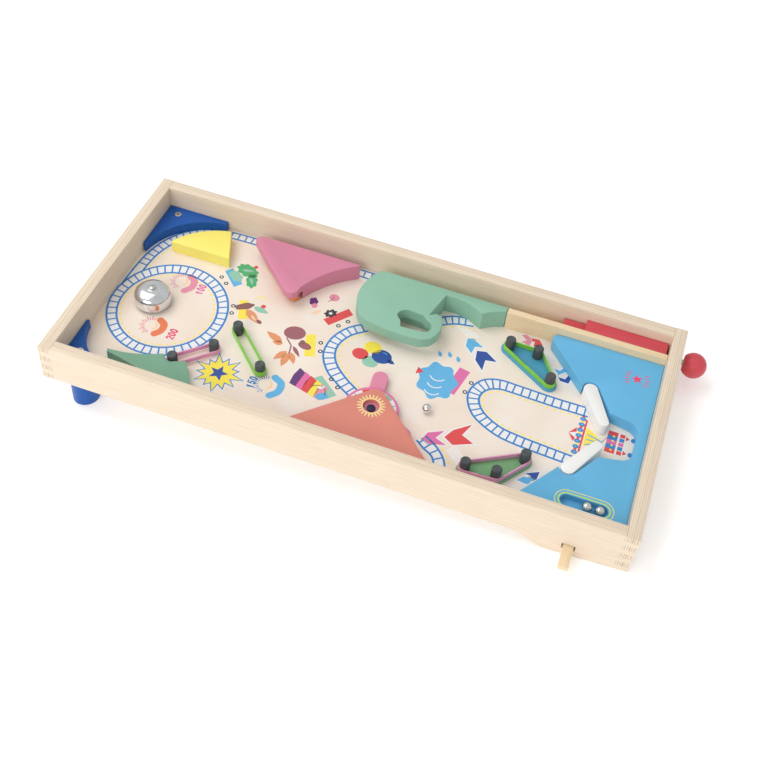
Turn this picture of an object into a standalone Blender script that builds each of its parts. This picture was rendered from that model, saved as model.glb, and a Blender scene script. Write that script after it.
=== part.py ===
"""A tabletop wooden pinball game: a shallow plywood tray on two rear feet.

All lengths are in metres. Each piece is first drawn in the tray's own frame:
x runs from the back wall to the player, y from the near side to the far side,
and z = 0 is the top of the rim. The tray frame then leans toward the player.
"""

import math

import bmesh
import bpy
from mathutils import Matrix, Vector

MM = 0.001

# Tray
LENGTH = 600 * MM
WIDTH = 278.5 * MM
WALL = 13 * MM
REAR_HEIGHT = 44 * MM
FRONT_HEIGHT = 51.6 * MM
TILT = math.radians(4)
RIM_ROUND = 0.9 * MM
FINGER_PLAY = 0.1 * MM
GROOVE_DEPTH = 4 * MM
BOARD_TOP = -36 * MM
BOARD_THICK = 4 * MM
BOARD_BOTTOM = BOARD_TOP - BOARD_THICK
SEAT = 0.05 * MM
BELLY_START = 486 * MM
BELLY_END = 522 * MM

# Feet
FOOT_RADIUS = 14 * MM
FOOT_INSET = 27.5 * MM

# Shooter lane
DIVIDER_X0 = 414.8 * MM
DIVIDER_Y0 = 241.5 * MM
DIVIDER_Y1 = 249 * MM
DIVIDER_TOP = -12.5 * MM
ARCH_UNDER = -24.5 * MM
SHOOTER_Y = 257.2 * MM
SHOOTER_Z = -25.5 * MM
SHAFT_RADIUS = 3 * MM
SHAFT_HOLE = 3.6 * MM
COIL_STEPS = 12
KNOB_RADIUS = 13.7 * MM
KNOB_FLAT = 604.8 * MM
COVER_X0 = 497 * MM
COVER_X1 = 584.8 * MM
COVER_BLOCK = 575 * MM
STRIKER_X0 = 473.5 * MM
STRIKER_X1 = 504 * MM

# Flippers and their push rods
PIVOT_X = 521 * MM
PIVOT_NEAR_Y = 73.5 * MM
PIVOT_FAR_Y = 179.5 * MM
FLIPPER_LENGTH = 42.8 * MM
FLIPPER_R0 = 7.3 * MM
FLIPPER_R1 = 5.3 * MM
FLIPPER_REST = math.radians(60.5)
FLIPPER_TOP = -21.8 * MM
PIN_RADIUS = 3.5 * MM
RUN = 0.09 * MM
CRANK_ARM = 22 * MM
CRANK_HALF_SWING = math.radians(25)
CRANK_TOP = -47 * MM
CRANK_BOTTOM = -50.5 * MM
ROD_X = 542 * MM
ROD_WIDTH = 10 * MM
ROD_TOP = -40.5 * MM
ROD_BOTTOM = -46.5 * MM
ROD_OUT = 24 * MM
STOP_Y = 126.5 * MM

# Score wheel
WHEEL_X = 321 * MM
WHEEL_Y = 74 * MM
WHEEL_RADIUS = 28 * MM
PADDLE_REACH = 51 * MM
PADDLE_HALF = 8 * MM
PADDLE_FIRST = math.radians(96)
WHEEL_TOP = -28.4 * MM
WHEEL_BOTTOM = -35.2 * MM
COVER_PLATE_TOP = -24 * MM

# Bell
BELL_X = 58 * MM
BELL_Y = 129 * MM
BELL_RADIUS = 19.2 * MM
BELL_TOP = -15.5 * MM
BELL_RIM = -32.5 * MM
BELL_SKIN = 1 * MM
BELL_HOLE = 2.3 * MM

# Bumpers
POST_RADIUS = 5.2 * MM
POST_TOP = -22 * MM
RAISED_TOP = -19 * MM
BAND_GAP = 0.1 * MM
BAND_THICK = 1.3 * MM
BAND_LOW = -34.6 * MM
BAND_HIGH = -29.6 * MM
PLATE_TOP = -33 * MM
PINK_POSTS = [(114.1, 59), (145.5, 89.9)]
GREEN_POSTS = [(157.8, 123.1), (200, 80.8)]
FAR_POSTS = [(428, 212.2), (458.3, 211.3), (478.9, 178.8)]
NEAR_POSTS = [(427.4, 41.8), (457.9, 43.6), (479.3, 73.2)]
ROOF_POSTS = [(152.6, 229.4), (192, 193.8)]

BALL_RADIUS = 5 * MM
FIELD_BALL = (372.1, 97.5)
TRAY_BALLS = [(547.6, 35.5), (560.1, 35.5)]
TRAY_FLOOR = -28.5 * MM

# (red, green, blue) of each finish
COLOURS = {
    "plywood": (0.80, 0.64, 0.44),
    "beech": (0.83, 0.66, 0.44),
    "playfield": (0.91, 0.80, 0.62),
    "dark_blue_paint": (0.01, 0.09, 0.35),
    "yellow_paint": (0.95, 0.85, 0.20),
    "pink_paint": (0.72, 0.25, 0.38),
    "green_paint": (0.30, 0.60, 0.45),
    "salmon_paint": (0.70, 0.24, 0.18),
    "sky_paint": (0.13, 0.47, 0.78),
    "teal_paint": (0.05, 0.33, 0.50),
    "leaf_paint": (0.15, 0.38, 0.20),
    "red_paint": (0.66, 0.07, 0.09),
    "white_paint": (0.88, 0.88, 0.88),
    "wheel_paint": (0.78, 0.22, 0.40),
    "post_plastic": (0.05, 0.05, 0.06),
    "pink_rubber": (0.75, 0.35, 0.58),
    "green_rubber": (0.25, 0.60, 0.06),
    "orange_rubber": (0.85, 0.28, 0.03),
    "bell_chrome": (0.85, 0.86, 0.88),
    "ball_steel": (0.75, 0.75, 0.76),
    "zinc_steel": (0.62, 0.62, 0.62),
    "crank_plastic": (0.80, 0.80, 0.78),
}
METALS = ("bell_chrome", "ball_steel", "zinc_steel")


def clear_scene():
    for obj in list(bpy.data.objects):
        bpy.data.objects.remove(obj, do_unlink=True)


def make_collection(name, hidden=False):
    made = bpy.data.collections.new(name)
    bpy.context.scene.collection.children.link(made)
    made.hide_render = hidden
    return made


def make_material(name):
    made = bpy.data.materials.new(name)
    made.use_nodes = True
    shader = made.node_tree.nodes["Principled BSDF"]
    shader.inputs["Base Color"].default_value = (*COLOURS[name], 1)
    shader.inputs["Roughness"].default_value = 0.2 if name in METALS else 0.5
    shader.inputs["Metallic"].default_value = 1 if name in METALS else 0
    return made


clear_scene()
GAME = make_collection("pinball_game")
CUTTERS = make_collection("cutters", hidden=True)
MATERIALS = {name: make_material(name) for name in COLOURS}


def floor_height(x):
    """The table's surface under the tray, in the tray's own frame."""
    return -FRONT_HEIGHT - (LENGTH - x) * math.tan(TILT)


def make_tray_frame():
    """The empty that leans the tray and sets the origin under the middle of its box."""
    frame = bpy.data.objects.new("tray_frame", None)
    GAME.objects.link(frame)
    turn = Matrix.Rotation(TILT, 4, "Y")
    rear = turn @ Vector((0, 0, -REAR_HEIGHT))
    knob_centre = KNOB_FLAT + KNOB_RADIUS * 0.79
    front = turn @ Vector((knob_centre, 0, SHOOTER_Z)) + Vector((KNOB_RADIUS, 0, 0))
    foot = turn @ Vector((LENGTH, 0, -FRONT_HEIGHT))
    shift = Vector((-(rear.x + front.x) / 2, -WIDTH / 2, -foot.z))
    frame.matrix_world = Matrix.Translation(shift) @ turn
    return frame


TRAY = make_tray_frame()


def add_object(name, mesh_data, material, origin=(0, 0, 0)):
    obj = bpy.data.objects.new(name, mesh_data)
    GAME.objects.link(obj)
    obj.parent = TRAY
    obj.location = origin
    mesh_data.materials.append(MATERIALS[material])
    return obj


def mesh_from(bm, name, origin=(0, 0, 0)):
    bmesh.ops.translate(bm, verts=bm.verts, vec=-Vector(origin))
    bmesh.ops.recalc_face_normals(bm, faces=bm.faces)
    data = bpy.data.meshes.new(name)
    bm.to_mesh(data)
    bm.free()
    return data


def smooth_by_angle(data, degrees=35):
    data.shade_smooth()
    data.set_sharp_from_angle(angle=math.radians(degrees))


# ---------------------------------------------------------------- outlines


def mm(points):
    return [(x * MM, y * MM) for x, y in points]


def arc(cx, cy, radius, start, end, steps):
    """Points from angle start to angle end, in degrees."""
    made = []
    for i in range(steps + 1):
        angle = math.radians(start + (end - start) * i / steps)
        made.append((cx + radius * math.cos(angle), cy + radius * math.sin(angle)))
    return made


def arc_through(first, middle, last, steps):
    """The circular arc that runs through three points."""
    ax, ay = first
    bx, by = middle
    cx, cy = last
    d = 2 * (ax * (by - cy) + bx * (cy - ay) + cx * (ay - by))
    a2, b2, c2 = ax * ax + ay * ay, bx * bx + by * by, cx * cx + cy * cy
    ox = (a2 * (by - cy) + b2 * (cy - ay) + c2 * (ay - by)) / d
    oy = (a2 * (cx - bx) + b2 * (ax - cx) + c2 * (bx - ax)) / d
    start = math.atan2(ay - oy, ax - ox)
    turn_mid = (math.atan2(by - oy, bx - ox) - start) % math.tau
    turn_end = (math.atan2(cy - oy, cx - ox) - start) % math.tau
    if turn_mid > turn_end:
        turn_end -= math.tau
    radius = math.hypot(ax - ox, ay - oy)
    made = []
    for i in range(steps + 1):
        angle = start + turn_end * i / steps
        made.append((ox + radius * math.cos(angle), oy + radius * math.sin(angle)))
    return made


def rounded(corners, steps=4):
    """A closed outline from (x, y, corner radius) triples."""
    made = []
    count = len(corners)
    for i, (x, y, radius) in enumerate(corners):
        here = Vector((x, y))
        before = Vector(corners[i - 1][:2]) - here
        after = Vector(corners[(i + 1) % count][:2]) - here
        if radius <= 0:
            made.append((x, y))
            continue
        half = before.angle(after) / 2
        reach = radius / math.tan(half)
        centre = here + (before.normalized() + after.normalized()).normalized() * (
            radius / math.sin(half)
        )
        start = here + before.normalized() * reach - centre
        end = here + after.normalized() * reach - centre
        a0 = math.atan2(start.y, start.x)
        a1 = math.atan2(end.y, end.x)
        sweep = (a1 - a0 + math.pi) % math.tau - math.pi
        for k in range(steps + 1):
            angle = a0 + sweep * k / steps
            made.append(
                (centre.x + radius * math.cos(angle), centre.y + radius * math.sin(angle))
            )
    return made


def belt(centres, radius, steps=6):
    """The outline of a belt round equal circles, whose centres run anticlockwise."""
    made = []
    count = len(centres)
    for i, (x, y) in enumerate(centres):
        px, py = centres[i - 1]
        nx, ny = centres[(i + 1) % count]
        start = math.atan2(y - py, x - px) - math.pi / 2
        end = math.atan2(ny - y, nx - x) - math.pi / 2
        sweep = (end - start) % math.tau
        for k in range(steps + 1):
            angle = start + sweep * k / steps
            made.append((x + radius * math.cos(angle), y + radius * math.sin(angle)))
    return made


def pill(x0, x1, y, radius, steps=8):
    left = arc(x0 + radius, y, radius, 270, 90, steps)
    right = arc(x1 - radius, y, radius, 90, -90, steps)
    return left + right


# ------------------------------------------------------------------ solids


def prism_mesh(outline, low, high, plane="XY"):
    """An extruded outline. In plane XY, low and high are z. In XZ they are y, in YZ they are x."""
    along = {"XY": Vector((0, 0, 1)), "XZ": Vector((0, 1, 0)), "YZ": Vector((1, 0, 0))}[plane]
    bm = bmesh.new()
    corners = []
    for u, v in outline:
        spot = {"XY": (u, v, 0), "XZ": (u, 0, v), "YZ": (0, u, v)}[plane]
        corners.append(bm.verts.new(Vector(spot) + along * low))
    face = bm.faces.new(corners)
    grown = bmesh.ops.extrude_face_region(bm, geom=[face], use_keep_orig=True)["geom"]
    moved = [item for item in grown if isinstance(item, bmesh.types.BMVert)]
    bmesh.ops.translate(bm, verts=moved, vec=along * (high - low))
    return bm


def round_edges(bm, chosen, width, segments=2):
    edges = [edge for edge in bm.edges if chosen(edge)]
    bmesh.ops.bevel(
        bm,
        geom=edges,
        offset=width,
        offset_type="OFFSET",
        segments=segments,
        profile=0.5,
        affect="EDGES",
        clamp_overlap=True,
    )


def at_height(z):
    return lambda edge: all(abs(v.co.z - z) < 1e-6 for v in edge.verts)


def make_block(name, outline, low, high, material, width=0.8 * MM, origin=(0, 0, 0)):
    """A sawn and painted block, with its top edge rounded."""
    bm = prism_mesh(outline, low, high)
    if width:
        round_edges(bm, at_height(high), width)
    data = mesh_from(bm, name, origin)
    smooth_by_angle(data)
    return add_object(name, data, material, origin)


def turned_mesh(profile, steps):
    """A profile of (radius, height) pairs, spun round Z."""
    bm = bmesh.new()
    points = [bm.verts.new((radius, 0, height)) for radius, height in profile]
    edges = [bm.edges.new(pair) for pair in zip(points, points[1:])]
    bmesh.ops.spin(
        bm,
        geom=points + edges,
        cent=(0, 0, 0),
        axis=(0, 0, 1),
        angle=math.tau,
        steps=steps,
        use_merge=True,
    )
    bmesh.ops.remove_doubles(bm, verts=bm.verts, dist=1e-6)
    return bm


def make_turned(name, profile, material, origin, steps=24, along_x=False):
    bm = turned_mesh(profile, steps)
    if along_x:
        bmesh.ops.rotate(bm, verts=bm.verts, matrix=Matrix.Rotation(math.pi / 2, 3, "Y"))
    data = mesh_from(bm, name)
    smooth_by_angle(data)
    return add_object(name, data, material, origin)


def make_coil(name, start, end, coil_radius, wire, turns, material, origin):
    """A compression spring: a wire along a helix from start to end."""
    start, end, origin = Vector(start), Vector(end), Vector(origin)
    axis = (end - start).normalized()
    side = axis.orthogonal().normalized()
    other = axis.cross(side)
    travel = (end - start).length - 2 * wire
    curve = bpy.data.curves.new(name, "CURVE")
    curve.dimensions = "3D"
    curve.bevel_depth = wire
    curve.bevel_resolution = 1
    curve.use_fill_caps = True
    spline = curve.splines.new("POLY")
    steps = int(turns * COIL_STEPS)
    spline.points.add(steps)
    for i, point in enumerate(spline.points):
        angle = math.tau * turns * i / steps
        outward = side * math.cos(angle) + other * math.sin(angle)
        spot = start + axis * (wire + travel * i / steps) + outward * coil_radius - origin
        point.co = (*spot, 1)
    coil = bpy.data.objects.new(name, curve)
    GAME.objects.link(coil)
    coil.parent = TRAY
    coil.location = origin
    curve.materials.append(MATERIALS[material])
    return coil


def make_cutter(name, bm):
    data = mesh_from(bm, name)
    obj = bpy.data.objects.new(name, data)
    CUTTERS.objects.link(obj)
    obj.parent = TRAY
    obj.hide_render = True
    obj.display_type = "WIRE"
    return obj


def cut(obj, cutter):
    modifier = obj.modifiers.new("cut_" + cutter.name, "BOOLEAN")
    modifier.operation = "DIFFERENCE"
    modifier.solver = "EXACT"
    modifier.object = cutter


def box_cutter(name, x0, x1, y0, y1, z0, z1):
    bm = bmesh.new()
    bmesh.ops.create_cube(bm, size=1)
    bmesh.ops.scale(bm, verts=bm.verts, vec=(x1 - x0, y1 - y0, z1 - z0))
    middle = Vector((x0 + x1, y0 + y1, z0 + z1)) / 2
    bmesh.ops.translate(bm, verts=bm.verts, vec=middle)
    return make_cutter(name, bm)


def cylinder_mesh(x, y, radius, z0, z1, steps=32):
    bm = bmesh.new()
    bmesh.ops.create_cone(
        bm, cap_ends=True, segments=steps, radius1=radius, radius2=radius, depth=z1 - z0
    )
    bmesh.ops.translate(bm, verts=bm.verts, vec=(x, y, (z0 + z1) / 2))
    return bm


def bore_cutter(name, x, y, radius, z0, z1):
    return make_cutter(name, cylinder_mesh(x, y, radius, z0, z1))


def shaft_cutter(name, x0, x1, radius, steps=32):
    """A bore along X on the shooter's axis."""
    bm = cylinder_mesh(0, 0, radius, x0, x1, steps)
    bmesh.ops.rotate(bm, verts=bm.verts, matrix=Matrix.Rotation(math.pi / 2, 3, "Y"))
    bmesh.ops.translate(bm, verts=bm.verts, vec=(0, SHOOTER_Y, SHOOTER_Z))
    return make_cutter(name, bm)


# -------------------------------------------------------------------- tray


def finger_levels(height, count):
    return [-height * i / count for i in range(count + 1)]


def end_wall_outline(height, bottom, count):
    """The back or front wall seen along x: every other finger runs to the outside."""
    levels = finger_levels(height, count)
    side = []
    for i in range(count):
        out = 0 if i % 2 == 0 else WALL
        top = levels[i] - (FINGER_PLAY if i % 2 == 0 and i else 0)
        low = levels[i + 1] + (FINGER_PLAY if i % 2 == 0 else 0)
        if i % 2:
            top = levels[i] + FINGER_PLAY
            low = levels[i + 1] - FINGER_PLAY
        if i == count - 1:
            low = bottom
        side.append((out, top, low))
    left = []
    for out, top, low in side:
        left.append((out, top))
        left.append((out, low))
    right = [(WIDTH - y, z) for y, z in reversed(left)]
    return left + right


def make_end_wall(name, x0, height, bottom, count):
    outline = end_wall_outline(height, bottom, count)
    bm = prism_mesh(outline, x0, x0 + WALL, "YZ")
    long_top = lambda e: at_height(0)(e) and abs(e.verts[0].co.y - e.verts[1].co.y) > WALL * 2
    round_edges(bm, long_top, RIM_ROUND)
    data = mesh_from(bm, name)
    smooth_by_angle(data)
    return add_object(name, data, "plywood")


def side_wall_outline():
    """A side wall seen along y, with its deeper belly at the player's end."""
    inside = FINGER_PLAY
    rear = finger_levels(REAR_HEIGHT, 7)
    front = finger_levels(FRONT_HEIGHT, 8)
    made = [(WALL + inside, 0), (LENGTH - WALL - inside, 0)]
    for i in range(1, 8, 2):
        low = front[i + 1] if i < 7 else None
        made.append((LENGTH - WALL - inside, front[i]))
        made.append((LENGTH, front[i]))
        if low is not None:
            made.append((LENGTH, low))
            made.append((LENGTH - WALL - inside, low))
    made.append((LENGTH, floor_height(LENGTH)))
    steps = 12
    for i in range(steps + 1):
        share = 1 - i / steps
        x = BELLY_START + (BELLY_END - BELLY_START) * share
        ease = share * share * (3 - 2 * share)
        made.append((x, -REAR_HEIGHT + (floor_height(BELLY_END) + REAR_HEIGHT) * ease))
    made.append((WALL + inside, -REAR_HEIGHT))
    for i in (5, 3, 1):
        made.append((WALL + inside, rear[i + 1]))
        made.append((0, rear[i + 1]))
        made.append((0, rear[i]))
        made.append((WALL + inside, rear[i]))
    return made


def make_side_wall(name, y0):
    bm = prism_mesh(side_wall_outline(), y0, y0 + WALL, "XZ")
    long_top = lambda e: at_height(0)(e) and abs(e.verts[0].co.x - e.verts[1].co.x) > WALL * 2
    round_edges(bm, long_top, RIM_ROUND)
    data = mesh_from(bm, name)
    smooth_by_angle(data)
    return add_object(name, data, "plywood")


def make_tray():
    back = make_end_wall("back_wall", 0, REAR_HEIGHT, -REAR_HEIGHT, 7)
    front = make_end_wall("front_wall", LENGTH - WALL, FRONT_HEIGHT, -FRONT_HEIGHT + 6 * MM, 8)
    near = make_side_wall("near_side_wall", 0)
    far = make_side_wall("far_side_wall", WIDTH - WALL)
    inset = WALL - GROOVE_DEPTH
    groove = box_cutter(
        "board_groove",
        inset,
        LENGTH - inset,
        inset,
        WIDTH - inset,
        BOARD_BOTTOM - SEAT,
        BOARD_TOP + SEAT,
    )
    for wall in (back, front, near, far):
        cut(wall, groove)
    slot = box_cutter(
        "rod_slots",
        ROD_X - ROD_WIDTH / 2 - 1.5 * MM,
        ROD_X + ROD_WIDTH / 2 + 1.5 * MM,
        -WALL,
        WIDTH + WALL,
        ROD_BOTTOM - 0.7 * MM,
        BOARD_BOTTOM + 0.2 * MM,
    )
    cut(near, slot)
    cut(far, slot)
    cut(front, shaft_cutter("shaft_hole", LENGTH - 2 * WALL, LENGTH + WALL, SHAFT_HOLE))


def make_board():
    edge = WALL - GROOVE_DEPTH + 0.2 * MM
    outline = [
        (edge, edge),
        (LENGTH - edge, edge),
        (LENGTH - edge, WIDTH - edge),
        (edge, WIDTH - edge),
    ]
    board = make_block("playfield_board", outline, BOARD_BOTTOM, BOARD_TOP, "playfield", 0)
    for tag, y in (("near", PIVOT_NEAR_Y), ("far", PIVOT_FAR_Y)):
        name = "board_bore_" + tag
        cut(board, bore_cutter(name, PIVOT_X, y, PIN_RADIUS + RUN, -0.06, -0.02))


def make_divider():
    outline = [
        (DIVIDER_X0, DIVIDER_Y0),
        (LENGTH - WALL - SEAT, DIVIDER_Y0),
        (LENGTH - WALL - SEAT, DIVIDER_Y1),
        (DIVIDER_X0, DIVIDER_Y1),
    ]
    make_block("lane_divider", outline, BOARD_TOP + SEAT, DIVIDER_TOP, "beech")


def make_foot(name, y):
    """A dowel foot whose lower end is sawn level with the table."""
    low = floor_height(0) - FOOT_RADIUS
    bm = cylinder_mesh(FOOT_INSET, y, FOOT_RADIUS, low, BOARD_BOTTOM - SEAT, 40)
    down = Vector((math.sin(TILT), 0, -math.cos(TILT)))
    sawn = bmesh.ops.bisect_plane(
        bm,
        geom=list(bm.verts) + list(bm.edges) + list(bm.faces),
        plane_co=(FOOT_INSET, y, floor_height(FOOT_INSET)),
        plane_no=down,
        clear_outer=True,
    )
    rim = [item for item in sawn["geom_cut"] if isinstance(item, bmesh.types.BMEdge)]
    bmesh.ops.contextual_create(bm, geom=rim)
    data = mesh_from(bm, name)
    smooth_by_angle(data)
    add_object(name, data, "dark_blue_paint")


# ------------------------------------------------------------------ blocks


def make_corner_block(name, far):
    """A quarter block with a hollow arc that turns the ball."""
    if far:
        hollow = arc_through((16.4, 194.6), (41.6, 241.8), (84.2, 260.6), 14)
        outline = mm([(13.1, 265.4), (13.1, 197.2)] + hollow + [(84.2, 265.4)])
        screw = (27.5 * MM, 254.3 * MM)
    else:
        hollow = arc_through((68.6, 17.4), (34.6, 33.6), (15.8, 71.4), 12)
        outline = mm([(13.1, 13.1), (68.6, 13.1)] + hollow + [(13.1, 70.4)])
        screw = (27 * MM, 30 * MM)
    top = -24.5 * MM
    low = BOARD_TOP + SEAT
    block = make_block(name, outline, low, top, "dark_blue_paint")
    shape = [
        (0, low - MM),
        (2.1 * MM, low - MM),
        (2.1 * MM, top - 2.6 * MM),
        (4 * MM, top - 0.6 * MM),
        (4 * MM, top + MM),
        (0, top + MM),
    ]
    sink = turned_mesh(shape, 20)
    bmesh.ops.translate(sink, verts=sink.verts, vec=(*screw, 0))
    cut(block, make_cutter("sink_" + name, sink))
    head = [
        (0, low),
        (1.9 * MM, low),
        (1.9 * MM, top - 2.6 * MM),
        (3.75 * MM, top - 0.6 * MM),
        (3.75 * MM, top - 0.3 * MM),
        (1.9 * MM, top - 0.2 * MM),
        (1.5 * MM, top - 1.4 * MM),
        (0, top - 1.6 * MM),
    ]
    make_turned(name.replace("block", "screw"), head, "zinc_steel", (*screw, 0), 20)


def make_yellow_block():
    curve = arc_through((41, 209), (59, 231.4), (93.2, 249.2), 12)
    outline = mm(curve + [(95, 249), (110.2, 208.2), (42.5, 207.6)])
    make_block("yellow_block", outline, BOARD_TOP + SEAT, -22 * MM, "yellow_paint")


def make_roof_block():
    """A tall block whose left edge overhangs a bumper."""
    curve = arc_through((246.6, 248.6), (218.4, 223.8), (199.4, 192.4), 10)
    tip = [(198.6, 184.6), (194.2, 180.4), (188.4, 180.4), (184, 183)]
    left = [(128, 240.6), (126.8, 245.6), (129.6, 249.2), (133.4, 250.6)]
    outline = mm(curve + tip + left + [(246.4, 250.6)])
    roof = make_block("pink_roof_block", outline, BOARD_TOP + SEAT, -16 * MM, "pink_paint")
    ax, ay = ROOF_POSTS[0]
    bx, by = ROOF_POSTS[1]
    along = Vector((bx - ax, by - ay)).normalized()
    inward = Vector((-along.y, along.x))
    corners = []
    for along_by, side in ((-40, -30), (95, -30), (95, 7.6), (-40, 7.6)):
        spot = Vector((ax, ay)) + along * along_by + inward * side
        corners.append((spot.x, spot.y))
    recess = prism_mesh(mm(corners), -50 * MM, -24.6 * MM)
    cut(roof, make_cutter("roof_recess", recess))


def make_arch_block():
    """The tallest block, with a bean-shaped well and an arm that meets the divider."""
    left = arc_through((272.6, 248.9), (259.4, 217), (270.6, 177), 16)
    base = arc_through((281, 171.4), (312, 166.8), (340.6, 167.4), 8)
    right = arc_through((349.4, 171.8), (356.2, 187), (351.4, 208.2), 8)
    right += [(345.6, 209.6), (339.4, 205.4)]
    arm = [(347.6, 240.2), (362, 240), (375, 237.4), (384, 232.4), (390.6, 228.6)]
    end = [(397, 233.6), (404.6, 238.2), (413.9, 241.6), (413.9, 248.9)]
    outline = mm(left + base + right + arm + end)
    arch = make_block("green_arch_block", outline, BOARD_TOP + SEAT, DIVIDER_TOP, "green_paint", MM)
    well = arc_through((307.4, 192.6), (313.2, 201.8), (321.6, 202.6), 5) + [(334, 201.4)]
    well += arc_through((338.6, 196.6), (346.6, 188), (342.4, 178.9), 6)
    well += [(328, 177.6), (316, 177.2), (313.4, 185.4), (309.6, 189.2)]
    cut(arch, make_cutter("arch_well", prism_mesh(mm(well), -60 * MM, 0)))
    under = [(240, 150), (372, 150), (372, 204.5), (338, 204.5), (300, 206.5), (240, 212)]
    cut(arch, make_cutter("arch_tunnel", prism_mesh(mm(under), -60 * MM, ARCH_UNDER)))


def make_lens_block():
    top = arc_through((50, 43.4), (75, 46.8), (104, 58.6), 8)
    notch = arc(114.1, 59, 7.3, 205, 315, 7)
    corners = [(130, 58.2), (144.9, 34.6), (150.5, 13.1), (138, 13.1)]
    lower = arc_through((127, 17.6), (92, 30.4), (51.4, 39.8), 8)
    outline = mm(top + notch + corners + lower)
    make_block("green_lens_block", outline, BOARD_TOP + SEAT, -25 * MM, "green_paint")


def make_drain_plate():
    """The player's end: a C round the drain, hollowed for both flippers and spare balls."""
    middle = STOP_Y / MM

    def recess(pivot_y, side):
        swing = arc(0, 0, 9, 168, 29.5, 8)
        return [(PIVOT_X / MM + x, pivot_y / MM + side * y) for x, y in swing]

    far_edge = recess(PIVOT_FAR_Y, 1) + [(545.6, 156.2)]
    pocket = arc(564.5, 139.5, 12.5, 82, 0, 6)
    near_pocket = [(x, 2 * middle - y) for x, y in reversed(pocket)]
    near_edge = [(545.6, 2 * middle - 156.2)] + list(reversed(recess(PIVOT_NEAR_Y, -1)))
    corner = [(477.5, 241.3), (472.5, 240.6), (469.2, 238), (468.3, 233.6), (470.2, 229)]
    shape = [(586.9, 13.1), (586.9, 241.3)] + corner + far_edge + pocket
    shape = shape + near_pocket + near_edge + [(485.7, 31.8), (471.7, 13.1)]
    plate = make_block("drain_plate", mm(shape), BOARD_TOP + SEAT, -21.5 * MM, "sky_paint")
    well = pill(521.5 * MM, 568 * MM, 35.5 * MM, 6.5 * MM)
    cut(plate, make_cutter("spare_ball_well", prism_mesh(well, TRAY_FLOOR, 0)))


def make_wheel_cover():
    """A three-cornered roof over the score wheel, with two legs down to the board."""
    corners = [(233.4, 13.1, 0), (408.8, 13.1, 0), (321.1, 101.2, 9)]
    outline = rounded([(x * MM, y * MM, r * MM) for x, y, r in corners], 6)
    cover = make_block(
        "wheel_cover", outline, BOARD_TOP + SEAT, COVER_PLATE_TOP, "salmon_paint", 0.6 * MM
    )
    sweep = PADDLE_REACH + 1.6 * MM
    under = arc(WHEEL_X, WHEEL_Y, sweep, 0, 360 - 360 / 48, 47)
    cut(cover, make_cutter("wheel_room", prism_mesh(under, -60 * MM, -28 * MM)))
    cut(cover, bore_cutter("cover_eye", WHEEL_X, WHEEL_Y, 8.3 * MM, -60 * MM, 0))


def make_bumper_plates():
    far = list(reversed(mm(FAR_POSTS)))
    near = mm(NEAR_POSTS)
    low = BOARD_TOP + SEAT
    make_block("blue_triangle_plate", belt(far, 8.4 * MM), low, PLATE_TOP, "teal_paint", 0.5 * MM)
    make_block("green_triangle_plate", belt(near, 8 * MM), low, PLATE_TOP, "leaf_paint", 0.5 * MM)


# ----------------------------------------------------------------- bumpers


def make_post(name, spot, low, high=POST_TOP):
    profile = [
        (0, low),
        (POST_RADIUS, low),
        (POST_RADIUS, high - 0.9 * MM),
        (POST_RADIUS - 0.3 * MM, high - 0.3 * MM),
        (POST_RADIUS - 0.9 * MM, high),
        (0, high),
    ]
    make_turned(name, profile, "post_plastic", (spot[0] * MM, spot[1] * MM, 0), 24)


def make_bumper(name, posts, band_material, low, high=POST_TOP, band_shift=0):
    for i, spot in enumerate(posts):
        make_post(f"{name}_post_{i + 1}", spot, low, high)
    centres = mm(posts)
    if len(centres) == 3:
        (ax, ay), (bx, by), (cx, cy) = centres
        if (bx - ax) * (cy - ay) - (by - ay) * (cx - ax) < 0:
            centres.reverse()
    inner = belt(centres, POST_RADIUS + BAND_GAP, 8)
    outer = belt(centres, POST_RADIUS + BAND_GAP + BAND_THICK, 8)
    base = BAND_LOW + band_shift
    top = BAND_HIGH + band_shift
    band = make_block(name + "_band", outer, base, top, band_material, 0)
    cut(band, make_cutter("inside_" + name, prism_mesh(inner, base - MM, top + MM)))


def make_bumpers():
    board = BOARD_TOP + SEAT
    plate = PLATE_TOP + SEAT
    make_bumper("pink_bumper", PINK_POSTS, "pink_rubber", board)
    make_bumper("green_bumper", GREEN_POSTS, "green_rubber", board)
    make_bumper("roof_bumper", ROOF_POSTS, "orange_rubber", board, -24.9 * MM)
    make_bumper("far_bumper", FAR_POSTS, "green_rubber", plate, RAISED_TOP, 2 * MM)
    make_bumper("near_bumper", NEAR_POSTS, "pink_rubber", plate, RAISED_TOP, 2 * MM)


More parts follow.
